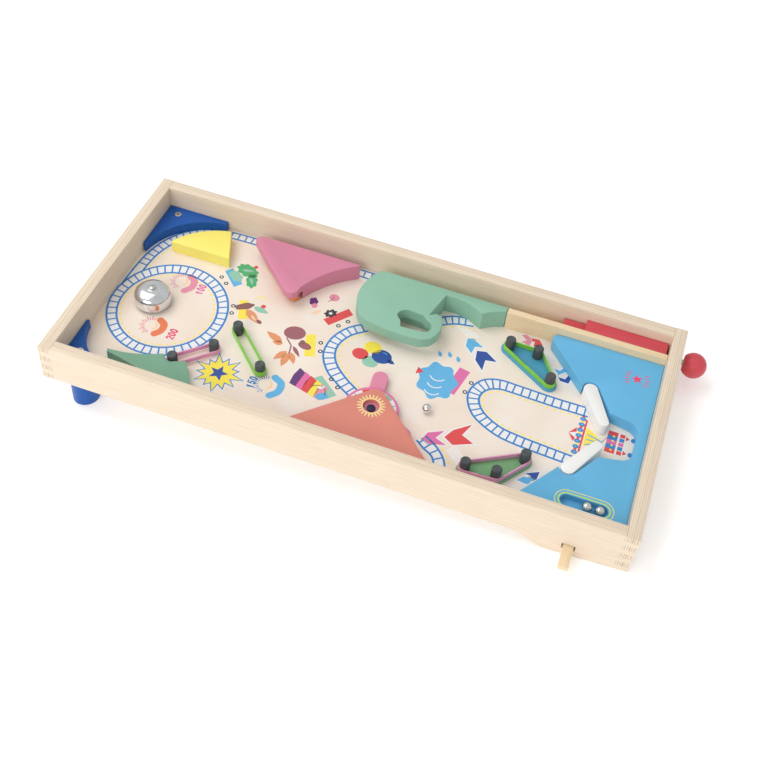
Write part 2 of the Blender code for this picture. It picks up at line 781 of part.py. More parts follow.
def make_bell():
    """A spun steel shell on a shouldered post."""
    shoulder = BELL_TOP - 8.5 * MM
    shape = [(BELL_RADIUS, BELL_RIM)]
    for i in range(9):
        angle = math.radians(90 * i / 8)
        radius = BELL_RADIUS * math.cos(angle) ** 0.62
        height = shoulder + (BELL_TOP - shoulder) * math.sin(angle)
        shape.append((max(radius, BELL_HOLE), height))
    data = mesh_from(turned_mesh(shape, 40), "bell_dome")
    smooth_by_angle(data, 50)
    dome = add_object("bell_dome", data, "bell_chrome", (BELL_X, BELL_Y, 0))
    shell = dome.modifiers.new("shell", "SOLIDIFY")
    shell.thickness = BELL_SKIN
    shell.offset = -1
    under = BELL_TOP - BELL_SKIN - 0.25 * MM
    post = [
        (0, BOARD_TOP + SEAT),
        (5 * MM, BOARD_TOP + SEAT),
        (5 * MM, under),
        (BELL_HOLE - 0.2 * MM, under),
        (BELL_HOLE - 0.2 * MM, BELL_TOP + 0.3 * MM),
        (3.6 * MM, BELL_TOP + 0.3 * MM),
        (3.4 * MM, BELL_TOP + 1.4 * MM),
        (1.9 * MM, BELL_TOP + 2.2 * MM),
        (0, BELL_TOP + 2.4 * MM),
    ]
    make_turned("bell_post", post, "zinc_steel", (BELL_X, BELL_Y, 0), 24)


# ----------------------------------------------------------- moving pieces


def make_wheel():
    """The score wheel: a disc with three rounded paddles, free on its axle."""
    outline = []
    for k in range(3):
        aim = math.degrees(PADDLE_FIRST) + 120 * k
        lean = math.degrees(math.asin(PADDLE_HALF / WHEEL_RADIUS))
        turn = math.radians(aim)
        cx = (PADDLE_REACH - PADDLE_HALF) * math.cos(turn)
        cy = (PADDLE_REACH - PADDLE_HALF) * math.sin(turn)
        outline += arc(cx, cy, PADDLE_HALF, aim - 90, aim + 90, 10)
        outline += arc(0, 0, WHEEL_RADIUS, aim + lean, aim + 120 - lean, 10)
    bm = prism_mesh(outline, WHEEL_BOTTOM, WHEEL_TOP)
    round_edges(bm, at_height(WHEEL_TOP), 0.5 * MM, 1)
    data = mesh_from(bm, "score_wheel")
    smooth_by_angle(data)
    wheel = add_object("score_wheel", data, "wheel_paint", (WHEEL_X, WHEEL_Y, 0))
    cut(wheel, bore_cutter("wheel_bore", WHEEL_X, WHEEL_Y, 3 * MM + RUN, -60 * MM, 0))
    axle = [
        (0, BOARD_TOP + SEAT),
        (5.4 * MM, BOARD_TOP + SEAT),
        (5.4 * MM, WHEEL_BOTTOM - 0.3 * MM),
        (3 * MM, WHEEL_BOTTOM - 0.3 * MM),
        (3 * MM, WHEEL_TOP + 0.4 * MM),
        (4.6 * MM, WHEEL_TOP + 0.4 * MM),
        (4.4 * MM, WHEEL_TOP + 1.6 * MM),
        (0, WHEEL_TOP + 2.2 * MM),
    ]
    make_turned("wheel_axle", axle, "zinc_steel", (WHEEL_X, WHEEL_Y, 0), 32)


def make_flipper(tag, pivot_y, side):
    """side is 1 for the near flipper, whose tip points to +y, and -1 for the far one."""
    aim = side * math.degrees(FLIPPER_REST)
    turn = math.radians(aim)
    taper = math.degrees(math.asin((FLIPPER_R0 - FLIPPER_R1) / FLIPPER_LENGTH))
    tip_x = FLIPPER_LENGTH * math.cos(turn)
    tip_y = FLIPPER_LENGTH * math.sin(turn)
    outline = arc(0, 0, FLIPPER_R0, aim + 90 - taper, aim + 270 + taper, 12)
    outline += arc(tip_x, tip_y, FLIPPER_R1, aim - 90 + taper, aim + 90 - taper, 10)
    bm = prism_mesh(outline, BOARD_TOP + 0.4 * MM, FLIPPER_TOP)
    round_edges(bm, at_height(FLIPPER_TOP), 0.7 * MM)
    data = mesh_from(bm, "flipper_" + tag)
    smooth_by_angle(data)
    pivot = (PIVOT_X, pivot_y, 0)
    flipper = add_object("flipper_" + tag, data, "white_paint", pivot)
    name = "flipper_bore_" + tag
    cut(flipper, bore_cutter(name, PIVOT_X, pivot_y, PIN_RADIUS + RUN, -60 * MM, -27.9 * MM))
    pin = [
        (0, CRANK_BOTTOM - 1.5 * MM),
        (PIN_RADIUS - 0.5 * MM, CRANK_BOTTOM - 1.5 * MM),
        (PIN_RADIUS, CRANK_BOTTOM - MM),
        (PIN_RADIUS, -28 * MM),
        (0, -28 * MM),
    ]
    make_turned("flipper_pin_" + tag, pin, "zinc_steel", pivot, 32)


def make_crank(tag, pivot_y, side):
    """The lever under the board: its peg stands in the push rod's slot."""
    aim = -side * math.degrees(CRANK_HALF_SWING)
    turn = math.radians(aim)
    px = CRANK_ARM * math.cos(turn)
    py = CRANK_ARM * math.sin(turn)
    outline = arc(0, 0, 6.6 * MM, aim + 90, aim + 270, 12)
    outline += arc(px, py, 4 * MM, aim - 90, aim + 90, 8)
    plate = prism_mesh(outline, CRANK_BOTTOM, CRANK_TOP)
    pivot = (PIVOT_X, pivot_y, 0)
    data = mesh_from(plate, "flipper_crank_" + tag)
    crank = add_object("flipper_crank_" + tag, data, "crank_plastic", pivot)
    peg_top = ROD_TOP - 0.4 * MM
    ring = arc(PIVOT_X + px, pivot_y + py, 2 * MM, 0, 360 - 360 / 20, 19)
    peg = make_cutter("peg_" + tag, prism_mesh(ring, CRANK_BOTTOM + MM, peg_top))
    join = crank.modifiers.new("peg", "BOOLEAN")
    join.operation = "UNION"
    join.solver = "EXACT"
    join.object = peg
    name = "crank_bore_" + tag
    cut(crank, bore_cutter(name, PIVOT_X, pivot_y, PIN_RADIUS + RUN, -60 * MM, -30 * MM))


def make_push_rod(tag, pivot_y, side):
    """A flat stick that slides in under the board and turns the crank."""
    reach = CRANK_ARM * math.sin(CRANK_HALF_SWING)
    peg_y = pivot_y - side * reach
    outer = -ROD_OUT if side > 0 else WIDTH + ROD_OUT
    inner = peg_y + side * 8 * MM
    y0, y1 = min(outer, inner), max(outer, inner)
    half = ROD_WIDTH / 2
    corners = [
        (ROD_X - half, y0, 0.6 * MM),
        (ROD_X + half, y0, 0.6 * MM),
        (ROD_X + half, y1, 0.6 * MM),
        (ROD_X - half, y1, 0.6 * MM),
    ]
    origin = (ROD_X, outer, (ROD_TOP + ROD_BOTTOM) / 2)
    outline = rounded(corners, 2)
    rod = make_block("push_rod_" + tag, outline, ROD_BOTTOM, ROD_TOP, "beech", 0.5 * MM, origin)
    mid = PIVOT_X + CRANK_ARM * (1 + math.cos(CRANK_HALF_SWING)) / 2
    play_x = 3.3 * MM
    play_y = 2.2 * MM
    slot = [
        (mid - play_x, peg_y - play_y),
        (mid + play_x, peg_y - play_y),
        (mid + play_x, peg_y + play_y),
        (mid - play_x, peg_y + play_y),
    ]
    cut(rod, make_cutter("rod_slot_" + tag, prism_mesh(slot, -60 * MM, -30 * MM)))
    stop = STOP_Y - side * 5.5 * MM
    gap = 0.1 * MM * side
    z = (ROD_TOP + ROD_BOTTOM) / 2
    start = (ROD_X, inner + gap, z)
    end = (ROD_X, stop - gap, z)
    name = "return_spring_" + tag
    make_coil(name, end, start, 2.2 * MM, 0.4 * MM, 9, "zinc_steel", (ROD_X, stop, z))


def make_stop_block():
    half = 5.5 * MM
    outline = [
        (ROD_X - 8 * MM, STOP_Y - half),
        (ROD_X + 8 * MM, STOP_Y - half),
        (ROD_X + 8 * MM, STOP_Y + half),
        (ROD_X - 8 * MM, STOP_Y + half),
    ]
    low = ROD_BOTTOM - 2 * MM
    make_block("spring_stop_block", outline, low, BOARD_BOTTOM - SEAT, "beech", 0)


def make_shooter():
    z = SHOOTER_Z
    body = [
        (STRIKER_X0, 250.6 * MM),
        (STRIKER_X1, 250.6 * MM),
        (STRIKER_X1, 263.8 * MM),
        (STRIKER_X0, 263.8 * MM),
    ]
    start = (STRIKER_X0, SHOOTER_Y, z)
    low = BOARD_TOP + 0.5 * MM
    striker = make_block("plunger_striker", body, low, -18 * MM, "red_paint", 0.9 * MM, start)
    socket = STRIKER_X1 - 14 * MM
    snug = SHAFT_RADIUS + SEAT
    cut(striker, shaft_cutter("striker_bore", socket, STRIKER_X1 + WALL, snug, 24))
    end = KNOB_FLAT + 9 * MM
    shaft = [
        (0, 0.1 * MM),
        (SHAFT_RADIUS, 0.1 * MM),
        (SHAFT_RADIUS, end - socket),
        (0, end - socket),
    ]
    make_turned("plunger_shaft", shaft, "zinc_steel", (socket, SHOOTER_Y, z), 24, True)

    outline = [
        (COVER_X0, DIVIDER_Y1 + 0.1 * MM),
        (COVER_X1, DIVIDER_Y1 + 0.1 * MM),
        (COVER_X1, WIDTH - WALL - 0.1 * MM),
        (COVER_X0, WIDTH - WALL - 0.1 * MM),
    ]
    cover = make_block("plunger_cover", outline, BOARD_TOP + SEAT, -12.4 * MM, "red_paint")
    room = box_cutter(
        "plunger_room",
        COVER_X0 - 20 * MM,
        COVER_BLOCK,
        DIVIDER_Y1 - 5 * MM,
        WIDTH - WALL + 5 * MM,
        -60 * MM,
        -16.8 * MM,
    )
    cut(cover, room)
    cut(cover, shaft_cutter("shaft_tunnel", COVER_BLOCK - WALL, LENGTH, SHAFT_HOLE))

    make_coil(
        "plunger_spring",
        (COVER_BLOCK - 0.15 * MM, SHOOTER_Y, z),
        (STRIKER_X1 + 0.15 * MM, SHOOTER_Y, z),
        4.2 * MM,
        0.5 * MM,
        11,
        "zinc_steel",
        (COVER_BLOCK, SHOOTER_Y, z),
    )

    centre = 10.8 * MM
    flat = math.acos(-centre / KNOB_RADIUS)
    profile = [(0, 0)]
    for i in range(13):
        angle = flat * (1 - i / 12)
        profile.append((KNOB_RADIUS * math.sin(angle), centre + KNOB_RADIUS * math.cos(angle)))
    profile[-1] = (0, centre + KNOB_RADIUS)
    where = (KNOB_FLAT, SHOOTER_Y, z)
    knob = make_turned("plunger_knob", profile, "red_paint", where, 32, True)
    cut(knob, shaft_cutter("knob_bore", KNOB_FLAT - WALL, KNOB_FLAT + 9.1 * MM, snug, 24))


def make_ball(name, spot, rest):
    bm = bmesh.new()
    bmesh.ops.create_uvsphere(bm, u_segments=20, v_segments=12, radius=BALL_RADIUS)
    data = mesh_from(bm, name)
    data.shade_smooth()
    where = (spot[0] * MM, spot[1] * MM, rest + BALL_RADIUS + 0.08 * MM)
    add_object(name, data, "ball_steel", where)


make_tray()
make_board()
make_divider()
make_foot("foot_near", FOOT_INSET)
make_foot("foot_far", WIDTH - FOOT_INSET)
make_corner_block("corner_block_far", True)
make_corner_block("corner_block_near", False)
make_yellow_block()
make_roof_block()
make_arch_block()
make_lens_block()
make_drain_plate()
make_wheel_cover()
make_bumper_plates()
make_bumpers()
make_bell()
make_wheel()
for TAG, PIVOT, SIDE in (("near", PIVOT_NEAR_Y, 1), ("far", PIVOT_FAR_Y, -1)):
    make_flipper(TAG, PIVOT, SIDE)
    make_crank(TAG, PIVOT, SIDE)
    make_push_rod(TAG, PIVOT, SIDE)
make_stop_block()
make_shooter()
make_ball("field_ball", FIELD_BALL, BOARD_TOP)
for NUMBER, SPOT in enumerate(TRAY_BALLS):
    make_ball(f"spare_ball_{NUMBER + 1}", SPOT, TRAY_FLOOR)
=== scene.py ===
"""Looks of the plywood tabletop pinball machine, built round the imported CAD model.

Places on the tray are in millimetres in the tray's own frame: x runs down the slope from the
back wall's outer face, y runs across from the near wall's outer face, and z rises from the rim.
"""

import math

import bmesh
import bpy
from mathutils import Matrix, Vector


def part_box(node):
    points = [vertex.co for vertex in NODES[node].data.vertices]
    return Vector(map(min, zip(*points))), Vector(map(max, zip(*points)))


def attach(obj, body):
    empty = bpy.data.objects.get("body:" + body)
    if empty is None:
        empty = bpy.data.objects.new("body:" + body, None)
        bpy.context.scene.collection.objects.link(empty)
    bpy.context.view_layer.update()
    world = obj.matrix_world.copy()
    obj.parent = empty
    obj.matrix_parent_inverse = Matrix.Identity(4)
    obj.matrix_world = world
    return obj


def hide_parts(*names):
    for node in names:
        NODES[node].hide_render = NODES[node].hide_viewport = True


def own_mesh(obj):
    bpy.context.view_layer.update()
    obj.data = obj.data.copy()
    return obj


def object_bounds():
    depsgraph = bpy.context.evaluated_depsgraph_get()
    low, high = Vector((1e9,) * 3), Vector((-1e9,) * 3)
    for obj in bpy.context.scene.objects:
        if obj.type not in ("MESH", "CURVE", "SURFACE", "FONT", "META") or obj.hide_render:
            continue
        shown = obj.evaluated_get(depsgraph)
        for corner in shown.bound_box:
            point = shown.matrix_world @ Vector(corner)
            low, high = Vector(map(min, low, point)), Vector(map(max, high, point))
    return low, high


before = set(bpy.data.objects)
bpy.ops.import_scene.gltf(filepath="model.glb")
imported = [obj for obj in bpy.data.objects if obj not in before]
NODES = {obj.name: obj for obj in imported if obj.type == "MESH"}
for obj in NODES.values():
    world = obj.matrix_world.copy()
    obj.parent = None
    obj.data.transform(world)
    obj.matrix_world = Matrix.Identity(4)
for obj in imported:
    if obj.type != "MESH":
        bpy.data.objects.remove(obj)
CAD_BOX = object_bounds()

MM = 0.001
TILT = math.radians(4.0)
BACK_WALL_HEIGHT = 44.0
WALL_THICKNESS = 13.0
TRAY_LENGTH = 600.0
TRAY_WIDTH = 278.5
BOARD_TOP = -36.0
PRINT_GAP = 0.002
PRINT_LAYER = 0.01


def tray_matrix():
    """From tray millimetres to the row frame's metres. The board's flat top sets the height."""
    back_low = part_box("back_wall")[0]
    side_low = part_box("near_side_wall")[0]
    corner_x = back_low.x + BACK_WALL_HEIGHT * MM * math.sin(TILT)
    upright = Matrix.Rotation(-TILT, 3, "Y")
    board_height = max((upright @ v.co).z for v in NODES["playfield_board"].data.vertices)
    corner_z = (board_height - BOARD_TOP * MM - corner_x * math.sin(TILT)) / math.cos(TILT)
    corner = Vector((corner_x, side_low.y, corner_z))
    return Matrix.Translation(corner) @ Matrix.Rotation(TILT, 4, "Y") @ Matrix.Scale(MM, 4)


TRAY = tray_matrix()
TRAY_TURN = Matrix.Rotation(TILT, 3, "Y")


# ---------------------------------------------------------------- lines in the tray's plane


def line(points):
    return [Vector(point) for point in points]


def curve_through(points, count):
    """That many points, evenly spaced, on the smooth curve through the given ones."""
    knots = line(points)
    knots = [2 * knots[0] - knots[1]] + knots + [2 * knots[-1] - knots[-2]]
    dense = []
    for a, b, c, d in zip(knots, knots[1:], knots[2:], knots[3:]):
        for step in range(12):
            t = step / 12
            dense.append(
                0.5 * (2 * b + (c - a) * t + (2 * a - 5 * b + 4 * c - d) * t ** 2
                       + (3 * b - a - 3 * c + d) * t ** 3)
            )
    dense.append(knots[-2])
    return spaced(dense, count)


def spaced(points, count):
    """That many points, evenly spaced along the straight pieces between the given ones."""
    lengths = [0.0]
    for a, b in zip(points, points[1:]):
        lengths.append(lengths[-1] + (b - a).length)
    found = []
    piece_index = 0
    for index in range(count):
        target = lengths[-1] * index / (count - 1)
        while piece_index < len(points) - 2 and lengths[piece_index + 1] < target:
            piece_index += 1
        span = max(lengths[piece_index + 1] - lengths[piece_index], 1e-9)
        share = (target - lengths[piece_index]) / span
        found.append(points[piece_index].lerp(points[piece_index + 1], share))
    return found


def toward(degrees):
    """The unit vector in that direction."""
    return Vector((math.cos(math.radians(degrees)), math.sin(math.radians(degrees))))


def left_of(way):
    """The vector turned a quarter to the left."""
    return Vector((-way.y, way.x))


def length_of(points):
    return sum((b - a).length for a, b in zip(points, points[1:]))


def arc(centre, radius, start, end, count):
    """Points on an arc from start to end, in degrees. The radius may be (x, y) for an ellipse."""
    wide, high = radius if isinstance(radius, tuple) else (radius, radius)
    turns = [math.radians(start + (end - start) * i / (count - 1)) for i in range(count)]
    return [Vector((centre[0] + wide * math.cos(a), centre[1] + high * math.sin(a))) for a in turns]


def circle(centre, radius, count=28):
    return arc(centre, radius, 0, 360 * (1 - 1 / count), count)


def moved_sideways(points, distance, closed=False):
    """The line moved to its left by distance, or to its right if that is negative."""
    count = len(points)
    found = []
    for i, point in enumerate(points):
        before = points[(i - 1) % count] if closed else points[max(i - 1, 0)]
        after = points[(i + 1) % count] if closed else points[min(i + 1, count - 1)]
        found.append(point + left_of((after - before).normalized()) * distance)
    return found


def grown(outline, margin):
    """A polygon with each side moved outwards by the margin. A sharp corner is cut short."""
    area = sum(a.x * b.y - b.x * a.y for a, b in zip(outline, outline[1:] + outline[:1]))
    out = -1 if area > 0 else 1
    count = len(outline)
    found = []
    for i, point in enumerate(outline):
        one = (point - outline[i - 1]).normalized()
        two = (outline[(i + 1) % count] - point).normalized()
        normal = left_of((one + two).normalized()) * out
        lean = max(abs(left_of(one).dot(normal)), 0.45)
        found.append(point + normal * margin / lean)
    return found


def stroke_outline(points, width, round_ends=True):
    """The outline of a line drawn with a pen of that width."""
    left = moved_sideways(points, width / 2)
    right = moved_sideways(points, -width / 2)
    if not round_ends:
        return left + right[::-1]
    ends = []
    for tip, inner in ((points[-1], points[-2]), (points[0], points[1])):
        heading = math.degrees(math.atan2(tip.y - inner.y, tip.x - inner.x))
        ends.append(arc(tip, width / 2, heading + 72, heading - 72, 7))
    return left + ends[0] + right[::-1] + ends[1]


# ---------------------------------------------------------------- meshes


def slab(bm, outline, low, high):
    """A closed prism of the outline between two heights."""
    floor = bm.faces.new([bm.verts.new((point.x, point.y, low)) for point in outline])
    made = bmesh.ops.extrude_face_region(bm, geom=[floor], use_keep_orig=True)["geom"]
    raised = [item for item in made if isinstance(item, bmesh.types.BMVert)]
    bmesh.ops.translate(bm, verts=raised, vec=(0, 0, high - low))


def ribbon(bm, one, other, low, high, closed=False):
    """A closed strip between two lines of as many points. A closed one is a ring."""
    corners = ((one, low), (one, high), (other, high), (other, low))
    loop = [[bm.verts.new((p.x, p.y, z)) for p in side] for side, z in corners]
    last = len(one) if closed else len(one) - 1
    for i in range(last):
        j = (i + 1) % len(one)
        for a, b in zip(loop, loop[1:] + loop[:1]):
            bm.faces.new((a[i], a[j], b[j], b[i]))
    if not closed:
        bm.faces.new([row[0] for row in loop])
        bm.faces.new([row[-1] for row in loop][::-1])


def turned(bm, profile, centre, steps=40):
    """A closed solid of revolution about the vertical line through the centre. The profile is
    (radius, height) points from the axis at the bottom to the axis at the top."""
    rings = []
    for radius, height in profile:
        if radius < 1e-6:
            rings.append([bm.verts.new((centre[0], centre[1], height))])
            continue
        rings.append([bm.verts.new((p.x, p.y, height)) for p in circle(centre, radius, steps)])
    for low, high in zip(rings, rings[1:]):
        for i in range(steps):
            j = (i + 1) % steps
            corners = [low[i % len(low)], low[j % len(low)], high[j % len(high)], high[i % len(high)]]
            corners = [v for k, v in enumerate(corners) if v not in corners[:k]]
            if len(corners) > 2:
                bm.faces.new(corners)


def placed(name, data):
    obj = bpy.data.objects.new(name, data)
    bpy.context.scene.collection.objects.link(obj)
    return obj


def piece(name, bm, material, body, smooth=False):
    """An object made of a mesh drawn in tray millimetres, which rides on a CAD body."""
    bmesh.ops.recalc_face_normals(bm, faces=bm.faces)
    bm.transform(TRAY)
    mesh = bpy.data.meshes.new(name)
    bm.to_mesh(mesh)
    bm.free()
    mesh.materials.append(material)
    if smooth:
        mesh.shade_smooth()
        mesh.set_sharp_from_angle(angle=math.radians(40))
    obj = placed(name, mesh)
    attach(obj, body)
    return obj


# ---------------------------------------------------------------- node materials


class Finish:
    """A node material under construction, on a Principled shader."""

    def __init__(self, name, roughness=0.5, metallic=0.0, coat=0.0, specular=0.5):
        self.material = bpy.data.materials.new(name)
        self.material.use_nodes = True
        self.nodes = self.material.node_tree.nodes
        self.links = self.material.node_tree.links
        self.shader = self.nodes["Principled BSDF"]
        constants = {"Roughness": roughness, "Metallic": metallic, "Coat Weight": coat,
                     "Coat Roughness": 0.12, "Specular IOR Level": specular}
        for socket, value in constants.items():
            self.shader.inputs[socket].default_value = value

    def feed(self, socket, value):
        """Links another node's output to the socket, or sets the socket to a number or colour."""
        if isinstance(value, bpy.types.NodeSocket):
            self.links.new(value, socket)
        else:
            socket.default_value = (*value, 1) if socket.type == "RGBA" else value

    def node(self, kind, **inputs):
        """A new node with those inputs fed. An underscore stands for a space in an input's name."""
        node = self.nodes.new("ShaderNode" + kind)
        for name, value in inputs.items():
            self.feed(node.inputs[name.replace("_", " ")], value)
        return node

    def math(self, operation, *values):
        node = self.node("Math")
        node.operation = operation
        for socket, value in zip(node.inputs, values):
            self.feed(socket, value)
        return node.outputs[0]

    def times(self, a, b):
        return self.math("MULTIPLY", a, b)

    def tray_place(self, stretch=(1, 1, 1)):
        """Tray millimetres as a vector, each axis multiplied by its stretch."""
        here = self.node("TexCoord").outputs["Object"]
        turned_back = self.node("Mapping", Vector=here, Rotation=(0, -TILT, 0),
                                Location=-(TRAY_TURN.inverted() @ TRAY.translation))
        scale = [share / MM for share in stretch]
        return self.node("Mapping", Vector=turned_back.outputs[0], Scale=scale).outputs[0]

    def noise(self, scale, detail=3.0, distortion=0.0, stretch=(1, 1, 1)):
        """Noise of that scale per tray millimetre, from 0 to 1."""
        node = self.node("TexNoise", Vector=self.tray_place(stretch), Scale=scale, Detail=detail,
                         Distortion=distortion)
        return node.outputs["Fac"]

    def ramp(self, value, stops, interpolation="LINEAR"):
        node = self.node("ValToRGB", Fac=value)
        node.color_ramp.interpolation = interpolation
        points = node.color_ramp.elements
        while len(points) < len(stops):
            points.new(0.5)
        for point, (position, colour) in zip(points, stops):
            point.position = position
            point.color = (*colour, 1)
        return node.outputs["Color"]

    def varied(self, value, colour, low, high, end=0.7):
        """The colour, from low to high times as light, as the pattern rises."""
        return self.ramp(value, [(0.3, shade(colour, low)), (end, shade(colour, high))])

    def mix(self, factor, a, b, blend="MIX"):
        node = self.node("Mix")
        node.data_type = "RGBA"
        node.blend_type = blend
        for index, value in ((0, factor), (6, a), (7, b)):
            self.feed(node.inputs[index], value)
        return node.outputs[2]

    def colour(self, source):
        self.feed(self.shader.inputs["Base Color"], source)

    def rough(self, value, low, high):
        """Roughness that varies with a pattern between low and high."""
        span = self.node("MapRange", Value=value, To_Min=low, To_Max=high)
        self.feed(self.shader.inputs["Roughness"], span.outputs[0])

    def bump(self, height, depth, strength=1.0):
        """Relief as deep as depth, in millimetres."""
        relief = self.node("Bump", Strength=strength, Distance=depth * MM, Height=height)
        self.feed(self.shader.inputs["Normal"], relief.outputs[0])

    def edge_highlight_mask(self, radius):
        """1 on sharp edges, within the radius in millimetres, and 0 on flat faces: the mask for a
        painted edge highlight.
        """
        rounded = self.node("Bevel", Radius=radius * MM)
        rounded.samples = 4
        dot = self.node("VectorMath")
        dot.operation = "DOT_PRODUCT"
        self.feed(dot.inputs[0], rounded.outputs[0])
        self.feed(dot.inputs[1], self.node("NewGeometry").outputs["True Normal"])
        turned_away = self.math("SUBTRACT", 1.0, dot.outputs["Value"])
        return self.math("MINIMUM", self.times(turned_away, 4.0), 1.0)


def shade(colour, share):
    """The colour made lighter, with a share over 1, or darker."""
    return tuple(min(channel * share, 1.0) for channel in colour)


def paint(name, colour, roughness=0.44, coat=0.04, highlight_strength=0.2):
    """Satin paint on wood: faint grain and brush relief, blotches, and lighter edges that are a painted
    highlight.
    """
    finish = Finish(name, roughness, coat=coat, specular=0.3)
    grain = finish.noise(1.0, 4.0, 0.3, stretch=(0.05, 0.9, 0.9))
    blotch = finish.noise(0.035, 2.0)
    tone = finish.varied(blotch, colour, 0.975, 1.02)
    tone = finish.mix(finish.times(grain, 0.10), tone, shade(colour, 0.80))
    # Lighter edges: a painted highlight along the sharp edges, where light would catch them.
    painted_highlight = finish.times(finish.edge_highlight_mask(0.7), highlight_strength)
    lighter = tuple(channel + (1 - channel) * 0.45 for channel in colour)
    finish.colour(finish.mix(painted_highlight, tone, lighter))
    finish.rough(blotch, roughness - 0.06, roughness + 0.08)
    finish.bump(grain, 0.05, 0.5)
    return finish.material


def plywood(name, along):
    """Pale birch plywood with its grain along one axis, 0 for x and 1 for y. The plies are
    stacked along the other and start at the outer face, on both sides of the tray."""
    finish = Finish(name, 0.55, coat=0.05)
    split = finish.node("SeparateXYZ", Vector=finish.tray_place())
    axis = 1 - along
    span = (TRAY_LENGTH, TRAY_WIDTH)[axis]
    centred = finish.math("ABSOLUTE", finish.math("SUBTRACT", split.outputs[axis], span / 2))
    depth = finish.math("DIVIDE", finish.math("SUBTRACT", span / 2, centred), WALL_THICKNESS)
    run = [0.9, 0.9, 0.9]
    run[along] = 0.03
    streaks = finish.noise(1.0, 5.0, 0.6, stretch=run)
    broad = [0.06, 0.06, 0.06]
    broad[along] = 0.006
    clouds = finish.noise(1.0, 3.0, 0.8, stretch=broad)
    wobble = finish.times(finish.math("SUBTRACT", clouds, 0.5), 0.03)
    pale, cross = (0.80, 0.675, 0.53), (0.40, 0.255, 0.13)
    along_ply, across_ply = (0, 0, 0), (1, 1, 1)
    plies = [(0.0, along_ply)]
    for start, end in ((0.14, 0.19), (0.33, 0.37), (0.46, 0.54), (0.64, 0.68), (0.82, 0.87)):
        plies += [(start, across_ply), (end, along_ply)]
    mask = finish.ramp(finish.math("ADD", depth, wobble), plies, "CONSTANT")
    facing = finish.node("NewGeometry").outputs["True Normal"]
    facing_up = finish.math("ABSOLUTE", finish.node("SeparateXYZ", Vector=facing).outputs[2])
    strength = finish.math("SUBTRACT", 0.85, finish.times(facing_up, 0.5))
    layered = finish.mix(finish.times(mask, strength), pale, cross)
    tone = finish.mix(finish.times(clouds, 0.3), layered, (0.86, 0.735, 0.595))
    dark = finish.ramp(streaks, [(0.42, (1, 1, 1)), (0.62, (0.86, 0.80, 0.72)), (0.8, (1, 1, 1))])
    finish.colour(finish.mix(0.5, tone, dark, "MULTIPLY"))
    finish.rough(streaks, 0.45, 0.68)
    finish.bump(streaks, 0.08, 0.5)
    return finish.material


def beech(name, along):
    """Lacquered beech: golden, with short darker flecks along the grain."""
    finish = Finish(name, 0.4, coat=0.25)
    run = [1.0, 1.0, 1.0]
    run[along] = 0.05
    grain = finish.noise(1.0, 4.0, 0.4, stretch=run)
    run[along] = 0.25
    flecks = finish.noise(2.4, 2.0, stretch=run)
    tone = finish.ramp(grain, [(0.3, (0.86, 0.69, 0.45)), (0.7, (0.80, 0.61, 0.37))])
    fleck_mask = finish.ramp(flecks, [(0.6, (0, 0, 0)), (0.7, (0.5, 0.5, 0.5))])
    finish.colour(finish.mix(fleck_mask, tone, (0.60, 0.40, 0.21)))
    finish.rough(grain, 0.34, 0.5)
    finish.bump(grain, 0.05, 0.5)
    return finish.material


def printed_board(name):
    """The playfield: a warm peach print with paler clouds and a fine lacquer ripple."""
    finish = Finish(name, 0.36, coat=0.3)
    clouds = finish.noise(0.011, 2.0, 0.6)
    haze = finish.noise(0.03, 2.0, 0.2, stretch=(0.5, 1, 1))
    weave = finish.noise(2.2, 2.0)
    tone = finish.ramp(clouds, [(0.34, (0.85, 0.71, 0.59)), (0.62, (0.88, 0.79, 0.69))])
    haze_mask = finish.ramp(haze, [(0.58, (0, 0, 0)), (0.78, (0.6, 0.6, 0.6))])
    tone = finish.mix(haze_mask, tone, (0.88, 0.84, 0.80))
    finish.colour(finish.mix(finish.times(weave, 0.05), tone, (0.75, 0.55, 0.40)))
    finish.rough(haze, 0.3, 0.44)
    finish.bump(weave, 0.015, 0.4)
    return finish.material


def ink(name, colour):
    """Screen-printed ink: slightly uneven cover, with a fine ripple under lacquer."""
    finish = Finish(name, 0.34, coat=0.2)
    cover = finish.noise(0.5, 3.0)
    dots = finish.noise(3.2, 1.0)
    tone = finish.varied(cover, colour, 0.93, 1.06)
    finish.colour(finish.mix(finish.times(dots, 0.02), tone, (0.9, 0.8, 0.7)))
    finish.rough(cover, 0.28, 0.42)
    finish.bump(dots, 0.01, 0.4)
    return finish.material


def plastic(name, colour, low=0.42, high=0.6):
    """Moulded plastic or turned, stained wood: a fine pebble and paler edges that are a painted
    highlight.
    """
    finish = Finish(name, low)
    pebble = finish.noise(1.6, 3.0)
    rub = finish.noise(0.2, 2.0)
    # Paler edges: a painted highlight, lifting the colour along sharp edges.
    painted_highlight = finish.times(finish.edge_highlight_mask(0.5), 0.35)
    tone = finish.varied(rub, colour, 0.88, 1.14)
    finish.colour(finish.mix(painted_highlight, tone, shade(colour, 2.2)))
    finish.rough(pebble, low, high)
    finish.bump(pebble, 0.03, 0.5)
    return finish.material


def rubber(name, colour):
    """Coloured elastic: soft sheen, fine lengthwise ribs and a dusty bloom."""
    finish = Finish(name, 0.6, specular=0.35)
    finish.shader.inputs["Sheen Weight"].default_value = 0.2
    ribs = finish.noise(1.0, 2.0, stretch=(0.15, 0.15, 3.0))
    bloom = finish.noise(0.15, 3.0)
    tone = finish.varied(bloom, colour, 0.9, 1.1, 0.75)
    finish.colour(finish.mix(finish.times(ribs, 0.15), tone, shade(colour, 0.6)))
    finish.rough(bloom, 0.5, 0.7)
    finish.bump(ribs, 0.06, 0.5)
    return finish.material


